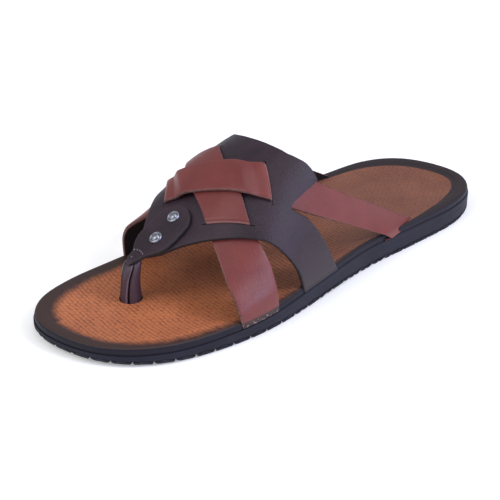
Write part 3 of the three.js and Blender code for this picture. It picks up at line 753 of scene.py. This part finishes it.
# Toe post: a strip of leather rolled into a tube, its two edges meeting in a seam that faces forwards and out
POST = table("share y radius", [
    (0.00, -91.1, 5.8), (0.16, -91.1, 5.65), (0.34, -91.0, 5.3), (0.60, -90.6, 5.1), (0.84, -89.8, 5.2),
    (0.93, -89.4, 5.0), (0.98, -89.1, 4.3), (1.00, -88.9, 3.4),
])
POST_SIDES = 144
POST_RINGS = 64
POST_CROWD = 0.8
POST_EASE = 0.1
SEAM_TURN = -48
SEAM_TWIST = 24
SEAM_DEPTH = 1.7
SEAM_HALF = 5.5
# How wide round the seam, in degrees, its groove is painted dark as shade
SEAM_SHADE_WIDTH = 4.5

# The raised edges beside the seam and the soft folds beyond them: degrees from the seam, width and rise
POST_ROLLS = table("away width rise", [(-24, 12, 0.35), (27, 13, 0.35)])
POST_FOLDS = table("away width rise", [(66, 8, 0.4), (-58, 7, 0.35)])

# The pale raw edge beside the seam, and a painted highlight on the side of the tube round the seam: how
# strong it starts at the seam and over how many degrees it fades
RAW_EDGE = {"away": -11, "width": 3.5}
SEAM_SIDE_HIGHLIGHT = {"full": 1.2, "reach": 90}

# The post's hole, and how far its cutter runs on below and above the footbed
HOLE_SIDES = 48
HOLE_SPARE = 2.0


def seam_away(share, turn):
    """Degrees round the tube from its seam, negative on the inner side."""
    painted_shade = np.radians(SEAM_TURN + SEAM_TWIST * share**3)
    return np.degrees((turn - painted_shade + math.pi) % (2 * math.pi) - math.pi)


def post_radius(share, turn):
    """The rolled tube's radius: a narrow valley at the seam between two raised edges, and soft folds."""
    away = seam_away(share, turn)
    valley = SEAM_DEPTH * bell(away, SEAM_HALF)
    rolls = sum(row["rise"] * bell(away - row["away"], row["width"]) for row in POST_ROLLS)
    folds = sum(row["rise"] * bell(away - row["away"], row["width"]) for row in POST_FOLDS)
    return read_table(POST, "share", "radius", share) - valley + rolls - folds - POST_EASE


def post_cutter(materials):
    """The hole that the toe post needs in the footbed."""
    turn = np.linspace(0, 2 * math.pi, HOLE_SIDES, endpoint=False)
    radius = POST[0]["radius"] + GAP
    x = POST_X + radius * np.cos(turn)
    y = POST[0]["y"] + radius * np.sin(turn)
    foot = shelf_height(y)
    ends = (-HOLE_SPARE, FOOTBED_THICK + HOLE_SPARE)
    return make_cutter([np.stack([x, y, foot + height], axis=-1) for height in ends], materials)


def make_post(materials):
    """The rolled tube from the sole's shelf up to the vamp, with its seam and the painted shade in it, its
    raw edge, and a painted highlight on the side round the seam.
    """
    share = np.linspace(0, 1, POST_RINGS)[:, None] ** POST_CROWD
    turn = np.linspace(0, 2 * math.pi, POST_SIDES, endpoint=False)[None, :]
    radius = post_radius(share, turn)
    x = POST_X + radius * np.cos(turn)
    y = read_table(POST, "share", "y", share) + radius * np.sin(turn)
    foot = shelf_height(y) + GAP
    head = on_instep(around_at(x, y), y)[..., 2]
    z = foot + (head - foot) * share
    away = seam_away(share, turn)
    # The seam's groove is painted dark as shade, and the side round the seam, which faces forwards and out,
    # is painted paler as a highlight
    values = {"raw_edge": bell(away - RAW_EDGE["away"], RAW_EDGE["width"]), "painted_shade": bell(away, SEAM_SHADE_WIDTH),
              "seam_side_highlight": np.clip(SEAM_SIDE_HIGHLIGHT["full"] - np.abs(away) / SEAM_SIDE_HIGHLIGHT["reach"], 0, 1)}
    points = np.stack([x, y, z], axis=-1)
    post = make_mesh("toe_post", points, loops_to_faces(POST_RINGS, POST_SIDES), materials, None, values)
    finish_piece(post, "toe_post")


# Rivets: radius and height over the tab of a capped head with a rolled ring, then radius and height over the
# vamp's inner side of the shank and the inner washer
RIVETS = table("name x y", [("rivet_front", -3.4, -74.5), ("rivet_rear", -4.6, -62.0)])
RIVET_TOP = [(0.0, 1.70), (0.7, 1.65), (1.3, 1.48), (1.75, 1.20), (2.05, 0.86), (2.22, 0.58), (2.40, 0.55),
             (2.60, 0.80), (2.90, 1.00), (3.20, 0.94), (3.45, 0.70), (3.56, 0.34), (3.54, 0.02)]
RIVET_INSIDE = [(1.3, 0.0), (2.9, -0.1), (2.6, -0.9), (0.0, -1.0)]
RIVET_SIDES = 48
RIVET_CENTRE = 0.01


def make_rivet(row, materials):
    """One rivet, turned about the instep's own normal."""
    seat = LAYER_GAP + TAB_THICK
    profile = [(radius, seat + height) for radius, height in RIVET_TOP] + [(RIVET_INSIDE[0][0], seat)]
    profile += [(radius, height - VAMP_THICK) for radius, height in RIVET_INSIDE]
    around = around_at(np.array(row["x"]), row["y"])
    base = Vector(on_instep(around, row["y"]))
    lean = Vector((0, 0, 1)).rotation_difference(Vector(instep_normal(around, row["y"])))
    points = []
    for radius, height in profile:
        wide = max(radius, RIVET_CENTRE)
        for i in range(RIVET_SIDES):
            turn = 2 * math.pi * i / RIVET_SIDES
            points.append(base + lean @ Vector((wide * math.cos(turn), wide * math.sin(turn), height)))
    rivet = make_mesh(row["name"], points, loops_to_faces(len(profile), RIVET_SIDES), materials)
    finish_piece(rivet, row["name"])


# Rings round the sole: steps on each side, and the half width against which a ring is drawn in
RING_STEPS = 200
HALF_WIDTH = 48


def outline_ring(inset, height_at):
    """Points round the sole, a distance in from its outline, at heights by their place along it."""
    angle = math.pi * (np.arange(2 * RING_STEPS) - RING_STEPS) / RING_STEPS
    middle = (outline_x(np.abs(angle)) + outline_x(-np.abs(angle))) / 2
    x = middle + (outline_x(angle) - middle) * (1 - inset / HALF_WIDTH)
    y = -(LENGTH / 2 - inset) * np.cos(angle)
    return np.stack([x, y, height_at(-(LENGTH / 2) * np.cos(angle))], axis=-1)


def ring_faces(rings, count):
    """Quads between rings, the first and last closed straight across the sole."""
    faces = loops_to_faces(rings, count, caps=False)
    half = count // 2
    for base, flip in ((0, False), ((rings - 1) * count, True)):
        for i in range(half):
            corners = [base + i, base + (count - i) % count, base + count - i - 1, base + i + 1]
            corners = [c for k, c in enumerate(corners) if c not in corners[:k]]
            faces.append(tuple(corners[::-1] if flip else corners))
    return faces


# Footbed: side, rounded rim, burnished flat border, then the dish
FOOTBED_RINGS = table("inset drop", [
    (0.7, FOOTBED_THICK + GAP - 0.05), (0.6, 2.2), (0.7, 1.2), (0.85, 0.7), (1.2, 0.25), (1.8, 0.0),
    (3.0, 0.0), (5.0, 0.08), (6.6, 0.16), (7.4, 0.42), (8.0, 0.58), (8.6, 0.50), (9.6, 0.62),
    (11.5, 0.95), (14.0, 1.5), (17.5, 1.86), (22.0, FOOTBED_DISH), (29.0, FOOTBED_DISH),
    (36.0, FOOTBED_DISH), (43.0, FOOTBED_DISH),
])
FOOTBED_SIDE_RINGS = 4

# Width of the burnished border on each side of the sole, and the width at which the material darkens it
BORDER_WIDTH = 8.6
BORDER = table("along outer inner", [
    (0.00, 10.5, 10.5), (0.05, 5.8, 9.0), (0.14, 3.6, 7.6), (0.28, 2.6, 7.0), (0.50, 2.2, 5.0),
    (0.74, 2.8, 7.0), (0.84, 6.8, 9.0), (0.92, 9.8, 10.4), (1.00, 10.4, 10.4),
])


def make_footbed(materials):
    """The thin dished sheet, with holes for the post and for the feet of the vamp and the straps."""
    rings = []
    for row in FOOTBED_RINGS:
        rings.append(outline_ring(row["inset"], lambda y: rim_height(y) - row["drop"]))
    count = 2 * RING_STEPS
    points = np.concatenate(rings)
    along = share_at(points[:, 1])
    is_outer = np.tile(np.arange(count) >= RING_STEPS, len(rings))
    outer, inner = (read_table(BORDER, "along", side, along) for side in ("outer", "inner"))
    width = np.where(is_outer, outer, inner)
    inset = np.repeat([row["inset"] for row in FOOTBED_RINGS], count) + BORDER_WIDTH - width
    faces = ring_faces(len(rings), count)
    slots = [FACE] * len(faces)
    slots[: FOOTBED_SIDE_RINGS * count] = [EDGE] * (FOOTBED_SIDE_RINGS * count)
    footbed = make_mesh("footbed", points, faces, materials, slots)
    face_out(footbed)
    cutters = [post_cutter(materials), vamp_cutter(materials)]
    cutters += [strap_cutter(rows, materials) for rows in (STRAP_UNDER_ROWS, STRAP_OVER_ROWS)]
    cut_away(footbed, cutters)
    carry_over(footbed, "inset", points, inset)
    finish_piece(footbed, "footbed")


# Outsole wall, from the footbed's seat down to the base above the lugs: distance in and share of the height
WALL_PROFILE = [
    (8.0, 1.00), (0.8, 1.00), (0.35, 0.99), (0.1, 0.96), (0.0, 0.91), (0.0, 0.80), (0.02, 0.765),
    (0.07, 0.735), (0.07, 0.705), (0.03, 0.675), (0.0, 0.64), (0.04, 0.34), (0.12, 0.16), (0.3, 0.05),
    (0.7, 0.00), (9.0, 0.00),
]

# Edge lugs and tread bars. Climb is how far an edge lug's outer root and any other root go up into the sole,
# and shoulder is the share of the tread's depth at which a lug starts to draw in towards its tip.
LUG_PROUD = 0.02
LUG_REACH = 13.0
LUG_CLIMB = 0.2
ROOT_CLIMB = 0.4
LUG_SHOULDER = 0.8
SHOULDER_MIN = 0.05
NOTCH_DEPTH = 1.25
WALL_TOP = 1.0
LUG_CHAMFER = 0.45
CHAMFER_MAX = 0.5
LUG_TAPER = 0.17
LUG_INNER = 0.8
LUG_PARTS = 4

# How the lugs differ along the edge: a share's middle value, its swing and the pace of its wave
LUG_WAVES = {"width": (0.955, 0.02, 2.4), "taper": (1.0, 0.5, 1.7), "notch": (0.75, 0.25, 2.9)}
BAR_ROWS = table("from to pitch width", [(-112, -22, 15, 8.0), (-4, 26, 30, 7.0), (44, 116, 12, 7.5)])
BAR_INSET = 17


def lug_share(key, i):
    """What one lug has of a width, taper or notch."""
    middle, swing, pace = LUG_WAVES[key]
    return middle + swing * math.sin(i * pace)


def lug_block(outer, inner, points, faces, climb=ROOT_CLIMB, taper=0.0, notch=0.0):
    """One lug between an outer and an inner line of plan points, with a drawn-in tip and a buried root."""
    ring = np.concatenate([outer, inner[::-1]])
    middle = ring.mean(axis=0)
    tip = tread_height(ring[:, 1])
    tip[len(outer) // 2] += notch
    out = np.arange(len(ring)) < len(outer)
    root = tip + TREAD_DEPTH + np.where(out, climb, ROOT_CLIMB)
    root = np.minimum(root, shelf_height(ring[:, 1]) - WALL_TOP)
    shoulder = np.minimum(tip + TREAD_DEPTH * LUG_SHOULDER, root - SHOULDER_MIN)
    reach = np.linalg.norm(ring - middle, axis=1, keepdims=True)
    drawn_in = ring + (middle - ring) * np.minimum(CHAMFER_MAX, LUG_CHAMFER / reach)
    side = (outer[-1] - outer[0]) / np.linalg.norm(outer[-1] - outer[0])
    drawn_in = drawn_in - ((drawn_in - middle) @ side)[:, None] * side * taper
    start = len(points)
    for plan, heights in ((drawn_in, tip), (ring, shoulder), (ring, root)):
        points.extend(np.column_stack([plan, heights]).tolist())
    faces.extend(tuple(start + i for i in face) for face in loops_to_faces(3, len(ring)))


def add_edge_lugs(points, faces):
    """The lugs all round the sole's edge, each a little unlike the next."""
    path, inner = (outline_ring(inset, rim_height)[:, :2] for inset in (-LUG_PROUD, LUG_REACH))
    path, inner = np.vstack([path, path[:1]]), np.vstack([inner, inner[:1]])
    run = run_along(path)
    count = round(run[-1] / LUG_PITCH)

    def pick(line, distance):
        """Points of a line at the same distances round the sole."""
        place = np.mod(distance, run[-1])
        return np.stack([np.interp(place, run, line[:, 0]), np.interp(place, run, line[:, 1])], axis=-1)

    for i in range(count):
        centre = (i + 0.5) * run[-1] / count
        half = 0.5 * LUG_PITCH * lug_share("width", i)
        spots = np.linspace(-half, half, LUG_PARTS + 1)
        near, far = pick(path, centre + spots), pick(inner, centre + spots * LUG_INNER)
        taper, notch = LUG_TAPER * lug_share("taper", i), NOTCH_DEPTH * lug_share("notch", i)
        lug_block(near, far, points, faces, LUG_CLIMB, taper, notch)


def add_tread_bars(points, faces):
    """The bars across the tread, inside the edge lugs."""
    for row in BAR_ROWS:
        for y in range(row["from"], row["to"] + 1, row["pitch"]):
            angle = float(angle_of(share_at(y)))
            ends = np.linspace(outline_x(-angle) + BAR_INSET, outline_x(angle) - BAR_INSET, LUG_PARTS + 1)
            low, high = y - row["width"] / 2, y + row["width"] / 2
            near = np.column_stack([ends, np.full(len(ends), low)])
            far = np.column_stack([ends, np.full(len(ends), high)])
            lug_block(near, far, points, faces)


def wall_height(y, share):
    """A height on the outsole's wall, from its base above the lugs up to the footbed's seat."""
    base = tread_height(y) + TREAD_DEPTH
    return base + (shelf_height(y) - GAP - base) * share


def make_outsole(materials):
    """The sole's body between rings, with its lugs and bars."""
    rings = []
    for inset, share in WALL_PROFILE:
        rings.append(outline_ring(inset, functools.partial(wall_height, share=share)))
    points = np.concatenate(rings).tolist()
    faces = ring_faces(len(rings), 2 * RING_STEPS)
    add_edge_lugs(points, faces)
    add_tread_bars(points, faces)
    finish_piece(make_mesh("outsole", points, faces, materials), "outsole")


# Materials
def linear(hex_code):
    """An sRGB hex colour as linear light."""
    channels = [int(hex_code[i : i + 2], 16) / 255 for i in (1, 3, 5)]
    return [c / 12.92 if c <= 0.04045 else ((c + 0.055) / 1.055) ** 2.4 for c in channels] + [1.0]


# A node's output that carries its result, where that isn't the first
RESULT = {"MIX": 2, "ATTRIBUTE": 2, "TEX_BRICK": 1}


def fill(node, inputs):
    """Gives a node's inputs values, or links from other nodes' results or sockets."""
    for key, value in inputs.items():
        if isinstance(value, bpy.types.Node):
            value = value.outputs[RESULT.get(value.type, 0)]
        if isinstance(value, bpy.types.NodeSocket):
            node.id_data.links.new(value, node.inputs[key])
        else:
            node.inputs[key].default_value = value


def add_node(tree, kind, inputs, **settings):
    """Adds a shader node with its settings, then its inputs' values and links."""
    node = tree.nodes.new("ShaderNode" + kind)
    for key, value in settings.items():
        setattr(node, key, value)
    fill(node, inputs)
    return node


def new_material(name, **sockets):
    """An empty material, what adds nodes to it, its shader with constant sockets, and the place on the sandal
    in metres."""
    material = bpy.data.materials.new(name)
    material.use_nodes = True
    tree = material.node_tree
    tree.nodes.clear()
    add = functools.partial(add_node, tree)
    shader = add("BsdfPrincipled", {key.replace("_", " "): value for key, value in sockets.items()})
    add("OutputMaterial", {"Surface": shader})
    return material, add, shader, add("TexCoord", {}).outputs["Object"]


# Inputs of a mix of two colours
FACTOR, A, B = 0, 6, 7
COLOURS = {"data_type": "RGBA"}


def per_mm(size):
    """Texture scale for a pattern whose cell is this many millimetres wide."""
    return 1 / (size * MM)


# Sockets that both leathers share
LEATHER = {"IOR": 1.5, "Specular_IOR_Level": 0.4, "Sheen_Roughness": 0.35}


def grained_leather(name, colour, dark, light, grain, relief, **sockets):
    """Chrome-tanned cow leather with a pressed grain: a soft sheen broken by fine pores and a cloudy dye."""
    material, add, shader, place = new_material(name, **sockets)
    cloud = add("TexNoise", {"Vector": place, "Scale": per_mm(14), "Detail": 4.0})
    pores = add("TexVoronoi", {"Vector": place, "Scale": per_mm(grain)}, feature="DISTANCE_TO_EDGE")
    fine = add("TexNoise", {"Vector": place, "Scale": per_mm(grain * 0.6), "Detail": 3.0})
    cloudy = add("MapRange", {"Value": cloud, "From Min": 0.35, "From Max": 0.65})
    dyed = add("Mix", {FACTOR: cloudy, A: linear(dark), B: linear(colour)}, **COLOURS)
    creases = add("MapRange", {"Value": pores, "From Max": 0.12, "To Min": 0.55, "To Max": 0.0})
    speckled = add("Mix", {FACTOR: creases, A: dyed, B: linear(dark)}, **COLOURS)
    lit = add("MapRange", {"Value": fine, "From Min": 0.56, "From Max": 0.74, "To Max": 0.35})
    worn = add("Mix", {FACTOR: lit, A: speckled, B: linear(light)}, **COLOURS)
    rough = shader.inputs["Roughness"].default_value
    dulled = add("MapRange", {"Value": cloud, "From Min": 0.3, "From Max": 0.7,
                              "To Min": rough - 0.05, "To Max": rough + 0.07})
    height = add("Math", {0: pores, 1: fine}, operation="ADD")
    bump = add("Bump", {"Height": height, "Strength": relief, "Distance": grain * 0.12 * MM})
    fill(shader, {"Roughness": dulled, "Normal": bump})
    return material, add, shader, place, worn


def mark_colour(add, shader, colour, marks):
    """Turns a colour towards others where a piece's named values are high. A mark is a value's name, how far
    it turns the colour, and the other colour."""
    for value, share, other in marks:
        told = add("Attribute", {}, attribute_name=value)
        strength = add("Math", {0: told, 1: share}, operation="MULTIPLY")
        colour = add("Mix", {FACTOR: strength, A: colour, B: other}, **COLOURS)
    fill(shader, {"Base Color": colour})


def dark_leather():
    """Waxed dark brown grain with a cool sheen on its bends, rubbed pale along the post's raw edge, painted
    paler as a highlight on the post's seam side and painted dark as shade in that seam and on the vamp's
    feet.
    """
    material, add, shader, _, colour = grained_leather(
        "dark_waxed_leather", "#35212e", dark="#251620", light="#5a465a", grain=0.95, relief=1.25,
        Roughness=0.42, Sheen_Weight=0.05, Sheen_Tint=linear("#9aa6d8"), **LEATHER)
    # Painted highlight on the post's seam side, the real raw edge, then painted shade in the post's seam and
    # on the vamp's feet
    mark_colour(add, shader, colour, [("seam_side_highlight", 0.7, linear("#5d4b57")),
                                      ("raw_edge", 0.55, linear("#9a8890")),
                                      ("painted_shade", 0.8, linear("#120d11"))])
    return material


def red_leather():
    """Corrected-grain red-brown leather: smoother and glossier, stretched paler and painted with a highlight
    on the bend into a slit, bound dark and sewn where a front foot enters the sole, with a near-black painted
    shade line above the binding."""
    material, add, shader, place, colour = grained_leather(
        "red_brown_leather", "#7e3936", dark="#723331", light="#8f4b49", grain=0.8, relief=0.75,
        Roughness=0.33, Sheen_Weight=0.04, Sheen_Tint=linear("#a8a0d0"), **LEATHER)
    frays = add("TexNoise", {"Vector": place, "Scale": per_mm(1.3), "Detail": 2.0})
    thread = add("MapRange", {"Value": frays, "From Min": 0.55, "From Max": 0.66})
    bound = add("Mix", {FACTOR: thread, A: linear("#2c1b1c"), B: linear("#8c6c66")}, **COLOURS)
    # Paler stretch and a painted highlight on the bend into a slit, the real binding, then a painted shade
    # line above it
    mark_colour(add, shader, colour, [("drawn_and_highlight", 0.8, linear("#c09492")), ("sewn_in", 1.0, bound),
                                      ("painted_shade", 1.0, linear("#120b0c"))])
    return material


# The embossing: a row's height and a scale's length in mm, and how many times narrower than a groove between
# rows a groove between scales is
EMBOSS_ROW = 2.25
EMBOSS_LENGTH = 3.3
EMBOSS_STRETCH = 1.5


def embossed_footbed():
    """Sheepskin over foam, embossed with staggered short scales whose grooves are painted dark as shade, its
    border burnished nearly black.
    """
    material, add, shader, place = new_material("embossed_sheepskin", Roughness=0.46, IOR=1.5,
                                                Sheen_Weight=0.08, Sheen_Tint=linear("#e0a8a0"))
    length = add("SeparateXYZ", {"Vector": place}).outputs["Y"]
    heelward = add("MapRange", {"Value": length, "From Min": -60 * MM, "From Max": 50 * MM})
    wander = add("TexNoise", {"Vector": place, "Scale": per_mm(9), "Detail": 2.0}).outputs["Color"]
    shaken = add("VectorMath", {0: wander, 1: (1.6 * MM, 1.6 * MM, 0.0), 2: place}, operation="MULTIPLY_ADD")
    turned = add("Mapping", {"Vector": shaken, "Rotation": (0, 0, math.radians(2)),
                             "Scale": (EMBOSS_STRETCH, 1, 1)})
    scales = add("TexBrick", {"Vector": turned, "Scale": per_mm(1), "Mortar Size": 0.6, "Mortar Smooth": 1.0,
                              "Brick Width": EMBOSS_LENGTH * EMBOSS_STRETCH, "Row Height": EMBOSS_ROW})
    pores = add("TexNoise", {"Vector": place, "Scale": per_mm(0.8), "Detail": 3.0})
    cloud = add("TexNoise", {"Vector": place, "Scale": per_mm(22), "Detail": 5.0})
    cloudy = add("MapRange", {"Value": cloud, "From Min": 0.3, "From Max": 0.7})
    tan = add("Mix", {FACTOR: cloudy, A: linear("#b4663e"), B: linear("#cc784a")}, **COLOURS)
    brown = add("Mix", {FACTOR: cloudy, A: linear("#7b4836"), B: linear("#905840")}, **COLOURS)
    browner = add("Mix", {FACTOR: heelward, A: tan, B: brown}, **COLOURS)
    # Painted shade: the grooves between scales are darkened, more in some patches than others
    worn = add("TexNoise", {"Vector": place, "Scale": per_mm(2.2), "Detail": 2.0})
    patchy = add("MapRange", {"Value": worn, "From Min": 0.35, "From Max": 0.65,
                              "To Min": 0.1, "To Max": 0.75})
    groove_shade = add("Math", {0: scales, 1: patchy}, operation="MULTIPLY")
    groove_shaded = add("Mix", {FACTOR: groove_shade, A: browner, B: linear("#4a281c")}, **COLOURS)
    inset = add("Attribute", {}, attribute_name="inset")
    ragged = add("TexNoise", {"Vector": place, "Scale": per_mm(4), "Detail": 4.0})
    rag = add("MapRange", {"Value": heelward, "To Min": 4.0, "To Max": 0.6})
    shifted = add("Math", {0: ragged, 1: rag, 2: inset}, operation="MULTIPLY_ADD")
    start = add("MapRange", {"Value": heelward, "To Min": BORDER_WIDTH + 0.8, "To Max": BORDER_WIDTH})
    end = add("MapRange", {"Value": heelward, "To Min": BORDER_WIDTH + 7.5, "To Max": BORDER_WIDTH + 1.2})
    border = add("MapRange", {"Value": shifted, "From Min": start, "From Max": end,
                              "To Min": 1.0, "To Max": 0.0}, interpolation_type="SMOOTHSTEP")
    rubbed = add("Mix", {FACTOR: heelward, A: linear("#35211f"), B: linear("#190e16")}, **COLOURS)
    burnished = add("Mix", {FACTOR: border, A: groove_shaded, B: rubbed}, **COLOURS)
    raised = add("Math", {0: scales, 1: -1.0, 2: pores}, operation="MULTIPLY_ADD")
    flat = add("MapRange", {"Value": border, "To Min": 0.9, "To Max": 0.2})
    bump = add("Bump", {"Height": raised, "Strength": flat, "Distance": 0.2 * MM})
    fill(shader, {"Base Color": burnished, "Normal": bump})
    return material


def pigskin_lining():
    """Pigskin lining, painted near black as the shade inside the vamp and under the straps: dull, with pores
    in small groups.
    """
    material, add, shader, place = new_material("pigskin_lining_painted_shade", Roughness=0.78, IOR=1.48)
    pores = add("TexVoronoi", {"Vector": place, "Scale": per_mm(1.1)})
    hole = add("MapRange", {"Value": pores, "From Max": 0.25})
    mixed = add("Mix", {FACTOR: hole, A: linear("#0c0b0d"), B: linear("#1b191d")}, **COLOURS)
    bump = add("Bump", {"Height": hole, "Strength": 0.5, "Distance": 0.06 * MM})
    fill(shader, {"Base Color": mixed, "Normal": bump})
    return material


def clouded(name, dark, light, size, detail, spread=(0.0, 1.0), relief=None, roughness=None, **sockets):
    """A material clouded between two colours, its clouds of a size in mm. Spread is the part of their noise
    that shows, relief a fine bump with size and depth in mm, and roughness its values from dark to light."""
    material, add, shader, place = new_material(name, **sockets)
    cloud = add("TexNoise", {"Vector": place, "Scale": per_mm(size), "Detail": detail})
    cloudy = add("MapRange", {"Value": cloud, "From Min": spread[0], "From Max": spread[1]})
    mixed = add("Mix", {FACTOR: cloudy, A: linear(dark), B: linear(light)}, **COLOURS)
    fill(shader, {"Base Color": mixed})
    if relief:
        fine = add("TexNoise", {"Vector": place, "Scale": per_mm(relief["size"]), "Detail": relief["detail"]})
        bump = add("Bump", {"Height": fine, "Strength": relief["strength"], "Distance": relief["depth"] * MM})
        fill(shader, {"Normal": bump})
    if roughness:
        dulled = add("MapRange", {"Value": cloud, "From Min": 0.35, "From Max": 0.7,
                                  "To Min": roughness[0], "To Max": roughness[1]})
        fill(shader, {"Roughness": dulled})
    return material


def cut_edge(name, dark, light):
    """A knife-cut leather edge, dyed and rubbed: darker and duller than the face, with open fibres."""
    fibres = {"size": 0.5, "detail": 4.0, "strength": 0.5, "depth": 0.08}
    return clouded(name, dark, light, size=0.5, detail=4.0, spread=(0.45, 0.75), relief=fibres,
                   Roughness=0.62, IOR=1.5)


def painted_edge():
    """The footbed's side: foam sealed with blue-black edge paint, brushed on, with a soft shine."""
    strokes = {"size": 1.4, "detail": 3.0, "strength": 0.3, "depth": 0.1}
    return clouded("brushed_edge_paint", "#1a1822", "#24212e", size=1.4, detail=3.0, relief=strokes,
                   Roughness=0.55, IOR=1.5, Specular_IOR_Level=0.22)


def waxed_thread():
    """Bonded polyester thread, waxed: twisted, nearly matt."""
    return clouded("waxed_polyester_thread", "#5d5357", "#92878c", size=0.3, detail=2.0, Roughness=0.55,
                   IOR=1.5)


def moulded_rubber():
    """Moulded sponge rubber, blue-black: matt, faintly pebbled, scuffed a little paler in clouds."""
    pebbles = {"size": 0.9, "detail": 4.0, "strength": 0.5, "depth": 0.12}
    return clouded("moulded_sponge_rubber", "#1a1926", "#222131", size=18, detail=5.0, spread=(0.35, 0.7),
                   relief=pebbles, Roughness=0.6, IOR=1.52, Specular_IOR_Level=0.25)


def nickel_plate():
    """Nickel-plated steel, stamped and tumbled: grey and glossy, a little duller in cloudy patches."""
    return clouded("nickel_plated_steel", "#a6a8b2", "#8c8e9a", size=2.5, detail=3.0, roughness=(0.28, 0.42),
                   Metallic=1.0)


def floor_paper():
    """White studio paper, matt, lit a little from below so that it looks white from the photograph's side."""
    return clouded("studio_paper", "#f4f4f4", "#f8f8f8", size=300, detail=1.0, Roughness=0.9,
                   Emission_Strength=0.28, Emission_Color=linear("#ffffff"))


# Stage
FLOOR_HALF = 4000.0
WORLD_COLOUR = "#f2f4fa"
WORLD_STRENGTH = 0.40

# Round soft lights that all face the origin: place in mm, size in metres and power in watts
SOFTBOXES = table("name place size power colour", [
    ("key", (-350, -1250, 1150), 1.5, 11.5, "#ffffff"), ("side", (900, 580, 1060), 0.5, 8.5, "#dfe4fc"),
    ("low", (1250, 560, 430), 0.45, 5.5, "#cfd8ff"), ("top", (100, 300, 1500), 1.4, 5.0, "#ffffff"),
])


def make_stage():
    """The floor, the lights and the pale surround."""
    corners = [(FLOOR_HALF * i, FLOOR_HALF * j, 0) for i, j in ((-1, -1), (1, -1), (1, 1), (-1, 1))]
    floor = make_mesh("floor", corners, [(0, 1, 2, 3)], [floor_paper()])
    for row in SOFTBOXES:
        light = bpy.data.lights.new(row["name"], "AREA")
        light.shape = "DISK"
        light.size = row["size"]
        light.energy = row["power"]
        light.color = linear(row["colour"])[:3]
        lamp = bpy.data.objects.new(row["name"], light)
        lamp.location = Vector(row["place"]) * MM
        lamp.rotation_euler = (-lamp.location).to_track_quat("-Z", "Y").to_euler()
        bpy.context.scene.collection.objects.link(lamp)
    world = bpy.data.worlds.new("studio")
    world.use_nodes = True
    fill(world.node_tree.nodes["Background"], {"Color": linear(WORLD_COLOUR), "Strength": WORLD_STRENGTH})
    bpy.context.scene.world = world
    bpy.context.scene.view_settings.view_transform = "Standard"


place_camera()
pigskin = pigskin_lining()
dark = [dark_leather(), cut_edge("dyed_dark_edge", "#1a1418", "#3c3136"), pigskin, waxed_thread()]
red = [red_leather(), cut_edge("dyed_red_edge", "#5c3a38", "#a07874"), pigskin]
make_upper(dark[:3], red)
make_tab(dark)
make_post(dark[:1])
nickel = [nickel_plate()]
for rivet_row in RIVETS:
    make_rivet(rivet_row, nickel)
make_footbed([embossed_footbed(), painted_edge()])
make_outsole([moulded_rubber()])
make_stage()
